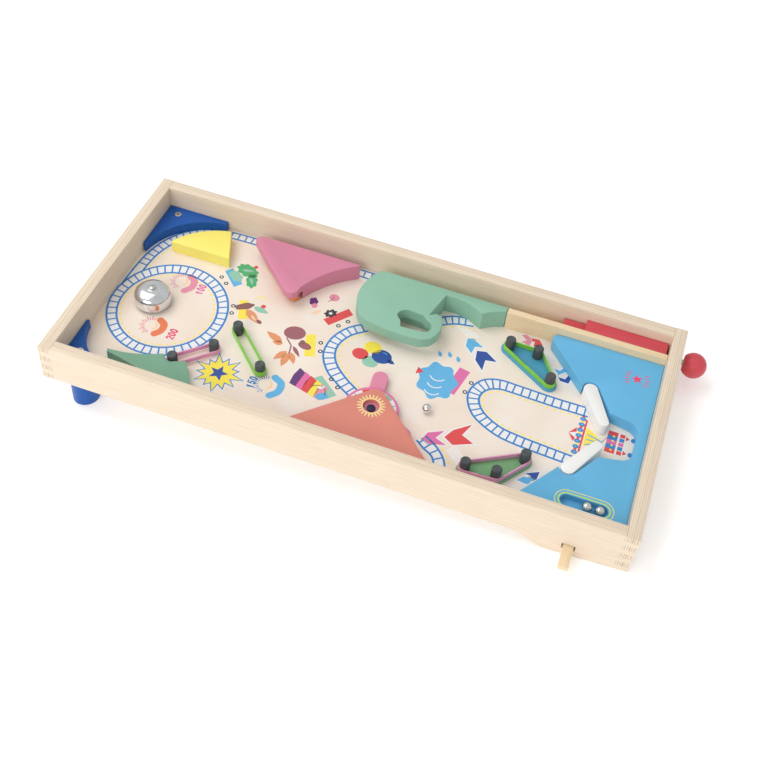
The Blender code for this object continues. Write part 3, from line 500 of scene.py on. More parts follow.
def metal(name, colour, low, high, brushed=(1, 1, 1), depth=0.01):
    """Bare metal with brushing along the stretched axis and a few handling smears."""
    finish = Finish(name, low, metallic=1.0)
    lines = finish.noise(2.0, 4.0, stretch=brushed)
    smears = finish.noise(0.12, 3.0, 0.5)
    finish.colour(finish.varied(smears, colour, 0.86, 1.0))
    finish.rough(finish.times(lines, smears), low, high * 2.2)
    finish.bump(lines, depth, 0.3)
    return finish.material


INKS = {
    "white": (0.84, 0.83, 0.83), "haze": (0.88, 0.82, 0.77), "blue": (0.028, 0.215, 0.56),
    "yellow": (0.93, 0.76, 0.07), "sky": (0.11, 0.44, 0.74), "dark_blue": (0.012, 0.065, 0.33),
    "magenta": (0.74, 0.15, 0.38), "red": (0.74, 0.06, 0.065), "pink": (0.78, 0.27, 0.38),
    "orange": (0.78, 0.19, 0.07), "number_red": (0.78, 0.05, 0.16), "cream": (0.90, 0.62, 0.38),
    "green": (0.07, 0.42, 0.15), "mint": (0.28, 0.56, 0.42), "brown": (0.24, 0.10, 0.09),
    "mauve": (0.33, 0.11, 0.13), "amber": (0.76, 0.30, 0.13), "black": (0.02, 0.02, 0.022),
    "violet": (0.12, 0.03, 0.18), "lime": (0.55, 0.74, 0.10), "lilac": (0.55, 0.54, 0.74),
    "sun": (0.93, 0.72, 0.30),
}


# ---------------------------------------------------------------- printed artwork


class Print:
    """Printed shapes on one flat face, kept by colour. Later layers lie on earlier ones."""

    def __init__(self, name, face, body, slot_name):
        self.name, self.face, self.body, self.slot_name = name, face, body, slot_name
        self.meshes = {}

    def heights(self, layer):
        low = self.face + PRINT_GAP
        return low, low + PRINT_LAYER * (layer + 1)

    def mesh(self, colour):
        return self.meshes.setdefault(colour, bmesh.new())

    def area(self, colour, outline, layer=1):
        slab(self.mesh(colour), line(outline), *self.heights(layer))

    def strip(self, colour, one, other, layer=1, closed=False):
        ribbon(self.mesh(colour), one, other, *self.heights(layer), closed)

    def stroke(self, colour, points, width, layer=1, round_ends=True):
        self.area(colour, stroke_outline(line(points), width, round_ends), layer)

    def ring(self, colour, centre, outer, inner, layer=1, count=28):
        self.strip(colour, circle(centre, outer, count), circle(centre, inner, count), layer, True)

    def finish(self):
        for colour, bm in self.meshes.items():
            piece(f"{self.name}_{colour}", bm, INK_FINISH[colour], self.body)


INK_FINISH = {name: ink(f"ink_{name}", colour) for name, colour in INKS.items()}
TIE_PITCH, RAIL_WIDTH, TIE_WIDTH, BED_MARGIN = 8.4, 2.2, 1.7, 1.3
TIE_STEPS, INNER_STEPS, BED_STEPS = 4, 240, 60
DASH_PITCH, DASH_LENGTH, DASH_WIDTH, DASH_OFFSET, DASH_STEPS = 7.4, 3.2, 1.7, 3.8, 12
LOOP_OUTER, LOOP_OUTER_RADII = (76.0, 126.0), (62.4, 66.6)
LOOP_INNER, LOOP_INNER_RADII = (76.0, 125.4), (52.1, 55.2)
LOOP_TIES, LOOP_STEPS = 45, 96


def nearest(point, points):
    return min(points, key=lambda other: (other - point).length)


def track(art, outer, inner, dash_from=0.0, dash_to=1.0):
    """A printed railway: white bed, two rails and cross-ties, and yellow dashes inside the curve."""
    steps = round(length_of(line(outer)) / TIE_PITCH) * TIE_STEPS
    outer_line = curve_through(outer, steps + 1)
    inner_line = curve_through(inner, INNER_STEPS)
    partner = [nearest(point, inner_line) for point in outer_line]
    bed_edge = [a + (a - b).normalized() * BED_MARGIN for a, b in zip(outer_line, partner)]
    art.area("white", bed_edge + spaced(inner_line, BED_STEPS)[::-1], 0)
    for rail in (outer_line, spaced(inner_line, steps + 1)):
        left, right = moved_sideways(rail, RAIL_WIDTH / 2), moved_sideways(rail, -RAIL_WIDTH / 2)
        art.strip("blue", left, right, 2)
    for i in range(TIE_STEPS // 2, steps, TIE_STEPS):
        if partner[i] not in (inner_line[0], inner_line[-1]):
            art.stroke("blue", [outer_line[i], partner[i]], TIE_WIDTH, 1, round_ends=False)
    sides = [moved_sideways(inner_line, side * DASH_OFFSET) for side in (-1, 1)]
    halfway = outer_line[steps // 2]
    inside = max(sides, key=lambda route: (route[INNER_STEPS // 2] - halfway).length)
    dashes(art, inside[int(INNER_STEPS * dash_from):int(INNER_STEPS * dash_to)])


def dashes(art, route):
    count = max(int(length_of(route) / DASH_PITCH), 1)
    fine = spaced(route, count * DASH_STEPS + 1)
    for middle in range(DASH_STEPS // 2, count * DASH_STEPS, DASH_STEPS):
        half = (fine[middle + 1] - fine[middle - 1]).normalized() * DASH_LENGTH / 2
        art.stroke("yellow", [fine[middle] - half, fine[middle] + half], DASH_WIDTH, 1,
                   round_ends=False)


def ellipse(centre, radii, margin=0.0):
    """A closed ellipse, grown by the margin."""
    grown_radii = (radii[0] + margin, radii[1] + margin)
    return arc(centre, grown_radii, 0, 360 * (1 - 1 / LOOP_STEPS), LOOP_STEPS)


def bell_loop(art):
    """The railway that runs round the bell, a closed ring."""
    rails = ((LOOP_OUTER, LOOP_OUTER_RADII), (LOOP_INNER, LOOP_INNER_RADII))
    bed = ellipse(LOOP_OUTER, LOOP_OUTER_RADII, BED_MARGIN)
    art.strip("white", bed, ellipse(LOOP_INNER, LOOP_INNER_RADII), 0, True)
    for centre, radii in rails:
        outside = ellipse(centre, radii, RAIL_WIDTH / 2)
        art.strip("blue", outside, ellipse(centre, radii, -RAIL_WIDTH / 2), 2, True)
    for i in range(LOOP_TIES):
        turn = 360 * i / LOOP_TIES
        ends = [arc(centre, radii, turn, turn + 1, 2)[0] for centre, radii in rails]
        art.stroke("blue", ends, TIE_WIDTH, 1, round_ends=False)
    dash_radii = tuple(radius - DASH_OFFSET for radius in LOOP_INNER_RADII)
    dashes(art, arc(LOOP_INNER, dash_radii, 0, 360, 120))


def tracks(art):
    """The outer turn at the high end, three short stretches, and the loop above the flippers."""
    outer_turn = [(15.2, 140), (15.6, 158), (16.6, 176), (19.4, 197), (26.4, 218.6), (36.4, 235.2),
                  (48.6, 247.2), (63, 255.6), (86.9, 261.8), (120, 263.4), (180, 263.4), (262, 263.4)]
    inner_turn = [(26.4, 168), (27.4, 182), (29.4, 196), (33.4, 209), (40, 222), (51, 234.6),
                  (66, 245), (80, 250.4), (92.5, 253), (121.5, 254), (180, 253.6), (262, 253.4)]
    track(art, outer_turn, inner_turn, 0.02, 0.36)
    track(art, [(275.3, 187.7), (259.7, 173.6), (250.1, 154), (249.6, 130.8), (260.8, 110.8),
                (276.5, 97.9), (292.8, 87.6)],
          [(281.5, 179), (267.5, 166), (260.2, 150), (261, 134.6), (269, 120.4), (284, 107),
           (299.7, 96.9)])
    track(art, [(330, 214), (347.5, 228.6), (361.2, 236.4), (377, 239.4)],
          [(337, 205.5), (352.2, 218.6), (366.1, 226.1), (384, 230)], 0.3)
    track(art, [(374, 60), (383, 53), (392.9, 47.1), (398, 38), (400, 24)],
          [(381, 68), (393.5, 60.1), (403.3, 50.3), (408.5, 40.2), (411, 26)], 0.2)
    track(art, [(526, 166), (490, 165.8), (452, 167.2), (430.2, 167.4), (414.1, 160.7), (405.7, 146.2),
                (405.7, 130.6), (415.1, 113.4), (430.3, 102.4), (449.7, 94.6), (476.2, 91), (526, 88)],
          [(526, 154.6), (490, 154.4), (450, 155.6), (434, 155.4), (422.6, 150.4), (416.8, 140.4),
           (418.6, 128.9), (428.2, 117.2), (445.9, 107.6), (463.8, 104), (490, 101.6), (526, 99)])


def under_the_arch(art):
    """A dark blue patch on the board inside the arch block's well, with a sky-blue line and one yellow
    dash over it.
    """
    patch = [(311, 180), (343, 181.5), (345, 187), (337, 196), (322, 199.5), (312, 194)]
    art.area("dark_blue", patch, 1)
    art.stroke("yellow", [(333, 181.6), (338, 182.4)], 2.6, 2)
    art.stroke("sky", [(312, 186), (344, 190)], 1.4, 2)


ARROWS = (
    ("sky", [(384.1, 199.5), (382.9, 210.1), (390.5, 211.3), (401.9, 204.5), (393.4, 202.2),
             (392.4, 191.5)]),
    ("dark_blue", [(398.9, 184.1), (397, 197.3), (406.9, 199.7), (420.5, 190.2), (408.8, 187.8),
                   (409.3, 172.9)]),
    ("magenta", [(378.4, 64.1), (381.1, 73), (396.3, 81.5), (390.4, 69.7), (403, 64.9), (386.8, 60.4)]),
    ("red", [(398.1, 73.9), (404, 85.8), (419.8, 99.7), (413.7, 83.1), (427.2, 76.8), (408.5, 67.6)]),
    ("pink", [(435.4, 238.3), (440.3, 241), (448.8, 236.2), (446.7, 226.2), (437.8, 228.9),
              (442.3, 232.9)]),
    ("red", [(446.5, 238.3), (454.6, 239.2), (460.3, 232.7), (451, 227.2), (451.2, 234.1)]),
    ("sky", [(479, 205.4), (485.5, 204.4), (490, 212.5), (492.7, 206.2), (485.2, 198)]),
    ("dark_blue", [(485.8, 195.3), (493.1, 194.9), (496.6, 204.8), (499, 198.9), (497.7, 190.4),
                   (488.7, 190.8)]),
    ("sky", [(478.1, 50.7), (483.1, 57), (493.4, 59.1), (489.8, 50.2), (486.7, 49.6)]),
    ("dark_blue", [(483.7, 61.5), (496.6, 68.5), (495.8, 58.3), (491.4, 57.2), (489.2, 60.6)]),
)


def arrows(art):
    for colour, outline in ARROWS:
        art.area("white", grown(line(outline), 1.7), 0)
        art.area(colour, outline, 2)


def trails(art):
    """Pale streaks that fade out behind the arrows, as tapering bars."""
    for tip, tail, width in (((392, 213), (366, 226), 13), ((408, 64), (446, 28), 13),
                             ((462, 226), (474, 210), 12), ((486, 66), (470, 92), 12)):
        tip, tail = Vector(tip), Vector(tail)
        side = left_of((tail - tip).normalized()) * width / 2
        art.area("haze", [tip - side, tip + side, tail + side * 0.4, tail - side * 0.4], 0)


DIGITS = {
    "1": [[(0.2, 0.75), (0.5, 1.0), (0.5, 0.0)]],
    "0": [arc((0.5, 0.5), (0.42, 0.5), 90, 450, 17)],
    "2": [arc((0.5, 0.68), (0.4, 0.32), 165, -30, 9) + line([(0.1, 0.0), (0.95, 0.0)])],
    "5": [[(0.9, 1.0), (0.2, 1.0), (0.14, 0.55)], arc((0.45, 0.32), (0.42, 0.33), 128, -145, 10)],
}


def number(art, colour, text, middle, height=7.4, layer=2):
    """A number read from the low end of the tray: its line runs across, and its top is uphill."""
    width, gap = height * 0.50, height * 0.20
    spread = len(text) * width + (len(text) - 1) * gap
    turn = Matrix.Rotation(math.radians(90), 2)
    for place, digit in enumerate(text):
        for shape in DIGITS[digit]:
            drawn = [Vector((place * (width + gap) - spread / 2 + u * width, (v - 0.5) * height))
                     for u, v in shape]
            art.stroke(colour, [Vector(middle) + turn @ p for p in drawn], height * 0.23, layer)


def score_mark(art, colour, number_colour, text, route, rays_at, number_at):
    """A score mark: a fat curved bar, a small one inside it, rays on the other side, a number."""
    art.stroke(colour, curve_through(route, 14), 7.8, 2)
    middle = Vector(rays_at)
    art.stroke("cream", arc(middle + Vector((3.5, 0)), 4.6, 65, -65, 8), 2.4, 2)
    root = middle + Vector((2.5, 0))
    for i in range(13):
        way = toward(95 + 170 * i / 12)
        art.stroke(number_colour, [root + way * 8, root + way * (11.2 + i % 2 * 2)], 0.75, 2)
    number(art, number_colour, text, number_at)


def score_marks(art):
    score_mark(art, "pink", "magenta", "100", [(77.5, 179), (84, 174.5), (85.5, 165), (80.5, 157)],
               (70, 169), (95.6, 165.6))
    score_mark(art, "orange", "number_red", "200", [(76.5, 108), (82.6, 103.5), (83.4, 94.8), (79, 88)],
               (69, 97.5), (96, 94.4))
    score_mark(art, "sky", "blue", "150", [(216.5, 81), (225.2, 75.5), (226, 64.5), (220, 57)],
               (209, 69), (197, 66.4))


def burst(art):
    """A comic burst with a plain star in it."""
    middle = Vector((161.5, 64.5))
    reach = (25, 19, 24, 20, 24, 18, 25, 20, 23, 19, 24, 20, 22)
    outline = []
    for i, length in enumerate(reach):
        outline.append(middle + toward(360 * i / len(reach)) * length * 1.08)
        outline.append(middle + toward(360 * (i + 0.5) / len(reach)) * 14.5)
    art.area("white", grown(outline, 1.6), 0)
    art.area("blue", grown(outline, 0.7), 1)
    art.area("yellow", grown(outline, -0.5), 2)
    star(art, "dark_blue", middle, 10.5, 4.6, 3, 12)


def star(art, colour, middle, outer, inner, layer, lean=0.0, points=5):
    outline = []
    for i in range(points * 2):
        radius = inner if i % 2 else outer
        outline.append(Vector(middle) + toward(lean + 180 * i / points) * radius)
    art.area(colour, outline, layer)


WAGONS = (
    ("sky", [(107.5, 202.1), (114.2, 209.3), (133, 191), (126.4, 183)],
     [(108.2, 191.9), (116.6, 184.9)]),
    ("yellow", [(140.0, 167), (149.1, 170.7), (158.8, 144.8), (149.2, 141.2)],
     [(137.3, 156.9), (139.9, 146.5)]),
    ("red", [(232.2, 176.4), (251.9, 201.6), (259.5, 194.6), (240.3, 170.2)],
     [(250.3, 173.6), (257.6, 183.3)]),
    ("yellow", [(223.5, 149), (233.4, 152.4), (243, 122.8), (232.6, 119.4)],
     [(241.9, 143.5), (245.7, 132.2)]),
    ("mint", [(251.5, 94.5), (258.9, 102), (281.8, 83), (275, 75)],
     [(269.6, 101), (279.2, 93.1)]),
    ("magenta", [(386.8, 168), (398.6, 165.4), (391.6, 129.2), (380, 132.8)],
     [(403.7, 151.9), (401, 137.7)]),
)


def wagons(art):
    """Plain four-cornered wagons, each with two round wheels."""
    for colour, corners, wheels in WAGONS:
        art.area(colour, corners, 1)
        for spot in wheels:
            art.ring("black", spot, 2.5, 1.2, 2, 20)
            art.area("white", circle(spot, 1.2, 16), 2)


def blob(art, colour, middle, radii, layer=2, turn=0.0, lobes=0, depth=0.0, count=40):
    """A rounded shape, with a wavy edge of that many lobes."""
    spin = Matrix.Rotation(math.radians(turn), 2)
    outline = []
    for i in range(count):
        way = toward(360 * i / count)
        swell = 1 + depth * math.cos(2 * math.pi * lobes * i / count)
        outline.append(Vector(middle) + spin @ Vector((radii[0] * way.x, radii[1] * way.y)) * swell)
    art.area(colour, outline, layer)


def leaf(art, colour, root, tip, width, layer=2):
    """A pointed leaf from root to tip."""
    root, tip = Vector(root), Vector(tip)
    side = left_of((tip - root).normalized()) * width / 2
    half = [(t, math.sin(math.pi * t ** 0.8)) for t in (0, 0.15, 0.35, 0.6, 0.82, 1)]
    there = [root.lerp(tip, t) + side * swell for t, swell in half]
    back = [root.lerp(tip, t) - side * swell for t, swell in half[-2:0:-1]]
    art.area(colour, there + back, layer)


def bushes(art):
    """On the sky wagon."""
    blob(art, "green", (130.5, 212), (13, 8.5), 2, -20, 9, 0.10)
    blob(art, "mint", (122, 199.5), (9.5, 6), 2, -35, 6, 0.08)
    blob(art, "green", (140.5, 199), (10.5, 6), 2, -70, 7, 0.10)
    leaf(art, "mint", (124, 211), (138, 214), 4, 3)
    leaf(art, "mint", (137, 204), (143.5, 194), 3.6, 3)
    blob(art, "red", (136.5, 221), (2.2, 2.2), 3)


def seed_pod(art):
    """On the first yellow wagon."""
    blob(art, "brown", (148.5, 161), (10.5, 4.6), 2, 35, 5, 0.07)
    leaf(art, "amber", (152, 158), (172, 143), 10)
    leaf(art, "mint", (158, 164), (176, 161), 8)
    leaf(art, "cream", (160, 152), (168, 145.5), 3.2, 3)
    blob(art, "brown", (171.5, 146), (3.4, 2.2), 3, -30)
    blob(art, "red", (167, 168.5), (2.6, 2.6), 3)
    art.stroke("yellow", arc((161, 176), 5.5, 190, 20, 9), 1.1, 2)


def flowers(art):
    """By the red wagon."""
    blob(art, "violet", (213.5, 197), (4.6, 6.0), 2, 15, 5, 0.08)
    blob(art, "pink", (216.5, 191.5), (3.2, 3.6), 3)
    blob(art, "pink", (232, 211), (5.6, 5.2), 2)
    leaf(art, "cream", (217, 179), (227, 188), 4)
    art.stroke("brown", arc((222, 210), 9, -50, 10, 7), 0.9, 2)
    blob(art, "black", (236.5, 187.5), (6.8, 5.2), 2, 45, 7, 0.16)
    star(art, "white", (236.5, 187.5), 3.0, 1.3, 3, 10)


def fruit_spray(art):
    """Round fruit and leaves on the second yellow wagon."""
    blob(art, "mauve", (212, 146), (11.5, 9.4), 2, 15)
    blob(art, "mauve", (228, 133), (7.5, 4.6), 2, -12)
    blob(art, "brown", (224, 137), (2.8, 2.8), 3)
    for root, tip, width in (((205, 128), (184, 137), 9), ((206, 127), (195, 125.5), 7),
                             ((214, 119), (205, 103), 8), ((216, 117), (216, 97), 8.5),
                             ((218, 119), (227, 105), 7)):
        leaf(art, "amber", root, tip, width)
    art.stroke("mauve", [(207, 136), (215, 128), (217, 117)], 1.6, 2)
    leaf(art, "mauve", (217, 128), (229, 116), 4.5)


def striped_case(art):
    """A leaning case of five stripes, with a handle, on the mint wagon."""
    for i, colour in enumerate(("violet", "magenta", "red", "yellow", "pink")):
        near, far = 232 + i * 7.2, 239.2 + i * 7.2
        lean = 20 - i * 1.5
        low = 88 - i * 2
        art.area(colour, [(near, low + 4), (near + 3, low + 4 + lean * 0.55),
                               (far + 3, low + 1 + lean * 0.5), (far, low - 10), (near, low - 8)], 2)
    art.stroke("brown", arc((262, 80), 8.5, 150, -10, 10), 1.0, 3)
    blob(art, "sky", (268.5, 76), (6.5, 4.5), 3, 30)
    blob(art, "white", (264, 87), (3.6, 2.2), 3, 30)


def rain_cloud(art):
    """On the magenta wagon, with a small flag."""
    blob(art, "sky", (370, 141), (20, 24), 2, 10, 7, 0.1)
    for height in (130, 140, 150):
        art.stroke("white", arc((369, height), 9, 215, 325, 8), 1.2, 3)
    for x, y in ((364, 174), (374, 177), (384, 174)):
        leaf(art, "sky", (x, y), (x - 4, y + 8), 4.6, 2)
    art.area("red", [(346.5, 142), (346.5, 152), (354, 147)], 3)


def balloons(art):
    for colour, middle, radius in (("red", (285, 145.5), 7.6), ("mint", (298, 139), 7.6),
                                   ("yellow", (294.5, 158.5), 8.2), ("dark_blue", (307, 150), 9.4)):
        blob(art, colour, middle, (radius * 1.15, radius), 2 if colour in ("red", "mint") else 3, -8)
    leaf(art, "dark_blue", (314, 147.8), (322.6, 145.2), 5.5, 3)
    art.stroke("sky", arc((307, 150), 6.2, 50, 95, 6), 0.9, 4)


def block(art, colour, x_range, y_range, layer=2):
    """A rectangle in line with the tray."""
    (left, right), (low, high) = x_range, y_range
    art.area(colour, [(left, low), (right, low), (right, high), (left, high)], layer)


def bunting(art):
    """A row of round lamps and flags across the tray, under the tent."""
    for i in range(7):
        y = 105.5 + i * 7.4
        block(art, "yellow" if i % 2 else "red", (521, 524), (y + 2.2, y + 5.2))
        blob(art, "blue", (522.5, y), (3.2, 2.5), 3)
        blob(art, "sky", (522.5, y), (1.5, 1.1), 4)


def tent(art):
    """A fair tent between the flippers, and a striped stall with wheels beyond it."""
    art.area("red", [(512, 127.5), (518.5, 137), (519.5, 131.5)], 2)
    art.area("red", [(512, 127.5), (518.5, 118), (519.5, 123.5)], 2)
    art.area("white", [(512.4, 127.5), (519.5, 131.5), (519.5, 123.5)], 1)
    block(art, "red", (525.5, 527.5), (107, 150))
    art.area("yellow", [(528.5, 116), (528.5, 141), (539, 134), (545, 128.5), (539, 122)], 2)
    for y in (119, 125.5, 132):
        art.stroke("sky", [(531, y), (546, 126 + (y - 125.5) * 0.3)], 1.5, 3)
    for i, colour in enumerate(("red", "blue", "magenta", "blue", "red")):
        low = 118 + i * 5.6
        block(art, colour, (550, 560), (low, low + 5.6))
        block(art, colour, (562, 567), (low + 0.4, low + 5.2))
    for y in (122, 128, 134, 140):
        blob(art, "yellow", (556, y), (1.2, 1.2), 3)
    for y in (122.5, 141.5):
        art.area("red", [(568, y - 3), (568, y + 3), (572, y)], 2)
        blob(art, "blue", (575.5, y), (2.4, 3.0), 2)
    art.stroke("brown", [(546, 128.5), (550, 136)], 0.6, 2)


def playfield_print():
    art = Print("playfield_print", BOARD_TOP, "cabinet", "playfield")
    for draw in (tracks, bell_loop, under_the_arch, trails, arrows, score_marks, burst, wagons, bushes,
                 seed_pod, flowers, fruit_spray, striped_case, rain_cloud, balloons, bunting, tent):
        draw(art)
    art.finish()


# ---------------------------------------------------------------- prints on the raised parts

COVER_TOP, WHEEL_TOP, DRAIN_TOP = -24.0, -28.4, -21.5
WHEEL_CENTRE, WHEEL_RADIUS, EYE_RADIUS = Vector((321.0, 74.0)), 28.0, 8.3
WELL_ENDS, WELL_Y, WELL_RADIUS = (528.0, 561.5), 35.5, 6.5


def cover_print():
    """A ring of rays round the hole over the score wheel's axle."""
    art = Print("wheel_cover_print", COVER_TOP, "cabinet", "salmon_paint")
    art.ring("sun", WHEEL_CENTRE, EYE_RADIUS + 1.7, EYE_RADIUS + 0.3, 1, 44)
    for i in range(22):
        way = toward(360 * i / 22)
        side = left_of(way)
        root = WHEEL_CENTRE + way * (EYE_RADIUS + 1.4)
        tip = WHEEL_CENTRE + way * (EYE_RADIUS + 6)
        ray = [root - side * 0.95, root + side * 0.95, tip + side * 0.5, tip - side * 0.5]
        art.area("sun", ray, 1)
    art.finish()


def wheel_print():
    """Eighteen printed fields round the wheel, in pairs with a thin divider between the two."""
    art = Print("score_wheel_print", WHEEL_TOP, "score_wheel_body", "wheel_paint")
    pairs = (("white", "sky"), ("mint", "white"), ("red", "pink"), ("white", "sky"), ("mint", "white"),
             ("red", "pink"), ("lilac", "blue"), ("yellow", "orange"), ("blue", "white"))
    inner, outer = 15.5, WHEEL_RADIUS - 3.0
    field, divider_turn = 18, 2.6
    for i, (colour, divider) in enumerate(pairs):
        start = 10.5 + 40 * i
        cut = start + field
        second = cut + divider_turn
        for ink_name, low, high, count in ((colour, start, cut, 5), (colour, second, second + field, 5),
                                           (divider, cut, second, 2)):
            art.strip(ink_name, arc(WHEEL_CENTRE, outer, low, high, count),
                      arc(WHEEL_CENTRE, inner, low, high, count), 1)
    art.ring("magenta", WHEEL_CENTRE, WHEEL_RADIUS - 0.4, WHEEL_RADIUS - 2.0, 1, 64)
    art.finish()


def pill(margin):
    """The outline of the spare-ball well, grown by the margin."""
    radius = WELL_RADIUS + margin
    left, right = ((x, WELL_Y) for x in WELL_ENDS)
    return arc(right, radius, -90, 90, 14) + arc(left, radius, 90, 270, 14)


def drain_print():
    """Two lines round the well, and a plain star between two fans of rays."""
    art = Print("drain_plate_print", DRAIN_TOP, "cabinet", "sky_paint")
    art.strip("lime", pill(1.0), pill(2.4), 1, True)
    art.strip("yellow", pill(4.6), pill(5.4), 1, True)
    middle = Vector((563, 210.8))
    star(art, "number_red", middle, 6.4, 2.8, 1, 180)
    for i in range(12):
        way = toward((i // 6) * 180 - 40 + 16 * (i % 6))
        art.stroke("number_red", [middle + way * 9, middle + way * (12.4 + 1.6 * (i % 2))], 0.9, 1)
    art.finish()


# ---------------------------------------------------------------- small solid details

BELL_CENTRE = (58.0, 129.0)
RECESS_REACH, RECESS_WIDTH, RECESS_GAP, RECESS_HEIGHT = 1.7, 0.7, 0.003, 0.03
POST_GROUPS = {
    "pink_bumper": [(114.1, 59), (145.5, 89.9)],
    "green_bumper": [(157.8, 123.1), (200, 80.8)],
    "far_bumper": [(428, 212.2), (458.3, 211.3), (478.9, 178.8)],
    "near_bumper": [(427.4, 41.8), (457.9, 43.6), (479.3, 73.2)],
}


def in_tray(node):
    """The corners of a CAD node in tray millimetres."""
    back = TRAY.inverted()
    return [back @ v.co for v in NODES[node].data.vertices]


def top_of(points):
    return max(point.z for point in points)


def post_caps(material):
    """A shallow turned ring and a centre dimple on top of each bumper post."""
    for group, spots in POST_GROUPS.items():
        bm = bmesh.new()
        for index, spot in enumerate(spots):
            top = top_of(in_tray(f"{group}_post_{index + 1}"))
            profile = [(0, 0), (4.1, 0), (4.1, 0.16), (3.8, 0.3), (3.2, 0.3), (2.9, 0.12), (1.2, 0.14),
                       (0.8, 0.04), (0, 0.03)]
            turned(bm, [(radius, top + rise) for radius, rise in profile], spot)
        piece(f"{group}_post_caps", bm, material, "cabinet", smooth=True)


def bell_washer(material):
    """The pressed washer under the nut on top of the bell, following the dome."""
    bm = bmesh.new()
    top = top_of(in_tray("bell_dome"))
    profile = [(0, -0.35), (5.2, -0.62), (5.4, -0.30), (5.0, -0.05), (4.2, 0.22), (3.7, 0.24),
               (3.5, 0.06), (0, 0.06)]
    turned(bm, [(radius, top + rise) for radius, rise in profile], BELL_CENTRE)
    piece("bell_washer", bm, material, "cabinet", smooth=True)


def screw_recess_shade(dark):
    """A black cross just proud of each screw's head: painted shade standing for the shaded bottom of
    its cross recess.
    """
    bm = bmesh.new()
    for name in ("corner_screw_far", "corner_screw_near"):
        points = in_tray(name)
        middle = sum((point.xy for point in points), Vector((0, 0))) / len(points)
        top = top_of(points)
        for turn in (20, 110):
            reach = toward(turn) * RECESS_REACH
            bar = stroke_outline([middle - reach, middle + reach], RECESS_WIDTH, False)
            slab(bm, bar, top + RECESS_GAP, top + RECESS_HEIGHT)
    piece("corner_screw_recess_shade", bm, dark, "cabinet")


def coil(bm, start, end, radius, wire, turns, facing):
    """A round wire wound from start to end about a straight axis. facing is a unit vector across
    the axis, where the wire starts."""
    start, end = Vector(start), Vector(end)
    axis = (end - start).normalized()
    side = axis.cross(facing)
    steps, sides = turns * 20, 8
    rings = []
    for i in range(steps + 1):
        a = 2 * math.pi * turns * i / steps
        out = facing * math.cos(a) + side * math.sin(a)
        middle = start.lerp(end, i / steps) + out * radius
        rings.append([
            bm.verts.new(middle + (out * math.cos(b) + axis * math.sin(b)) * wire / 2)
            for b in (2 * math.pi * k / sides for k in range(sides))
        ])
    for one, two in zip(rings, rings[1:]):
        for k in range(sides):
            bm.faces.new((one[k], one[(k + 1) % sides], two[(k + 1) % sides], two[k]))
    bm.faces.new(rings[0][::-1])
    bm.faces.new(rings[-1])


# The axes of the springs, and the share of its length that each keeps at the end of its stroke.
PLUNGER_Y, PLUNGER_Z, PLUNGER_SPRING_KEPT = 257.2, -25.5, 0.576
ROD_SPRING_X, ROD_SPRING_Z, ROD_SPRING_KEPT = 542.0, -43.5, 0.619


def plunger_spring(material):
    """The coil in the plunger cover, drawn at full length in place of the model's spring, which is
    hidden. The real coil shortens against the front wall as the knob is pulled; this one keeps its
    shape.
    """
    bm = bmesh.new()
    start, end = (504.5, PLUNGER_Y, PLUNGER_Z), (574.5, PLUNGER_Y, PLUNGER_Z)
    coil(bm, start, end, 3.9, 0.55, 11, Vector((0, 0, 1)))
    spring = piece("plunger_spring_coil", bm, material, "cabinet", smooth=True)
    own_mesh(spring)
    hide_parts("plunger_spring")


def return_springs(material):
    """One behind each push rod, drawn at full length in place of the model's springs, which are hidden.
    The real ones shorten against the block between them; these keep their shape.
    """
    for side, outer, inner, fixed in (("near", 72.6, 120.6, 121), ("far", 180.4, 132.4, 132)):
        bm = bmesh.new()
        start, end = (ROD_SPRING_X, outer, ROD_SPRING_Z), (ROD_SPRING_X, inner, ROD_SPRING_Z)
        coil(bm, start, end, 2.1, 0.42, 9, Vector((0, 0, 1)))
        spring = piece(f"return_spring_{side}_coil", bm, material, "cabinet", smooth=True)
        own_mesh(spring)
        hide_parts(f"return_spring_{side}")


# ---------------------------------------------------------------- finishes of the CAD nodes

FINE_BEVEL = 0.02
BEVEL_ANGLE = 35


def soften(obj, width):
    """Merges the split corners that the model file has, smooths curved faces, rounds sharp edges."""
    mesh = obj.data
    for name in ("custom_normal", "sharp_edge", "sharp_face"):
        if name in mesh.attributes:
            mesh.attributes.remove(mesh.attributes[name])
    mesh.shade_smooth()
    weld = obj.modifiers.new("merge_corners", "WELD")
    weld.merge_threshold = 1e-6
    bevel = obj.modifiers.new("round_edges", "BEVEL")
    bevel.width = width * MM
    bevel.segments = 2
    bevel.limit_method = "ANGLE"
    bevel.angle_limit = math.radians(BEVEL_ANGLE)
    bevel.harden_normals = True


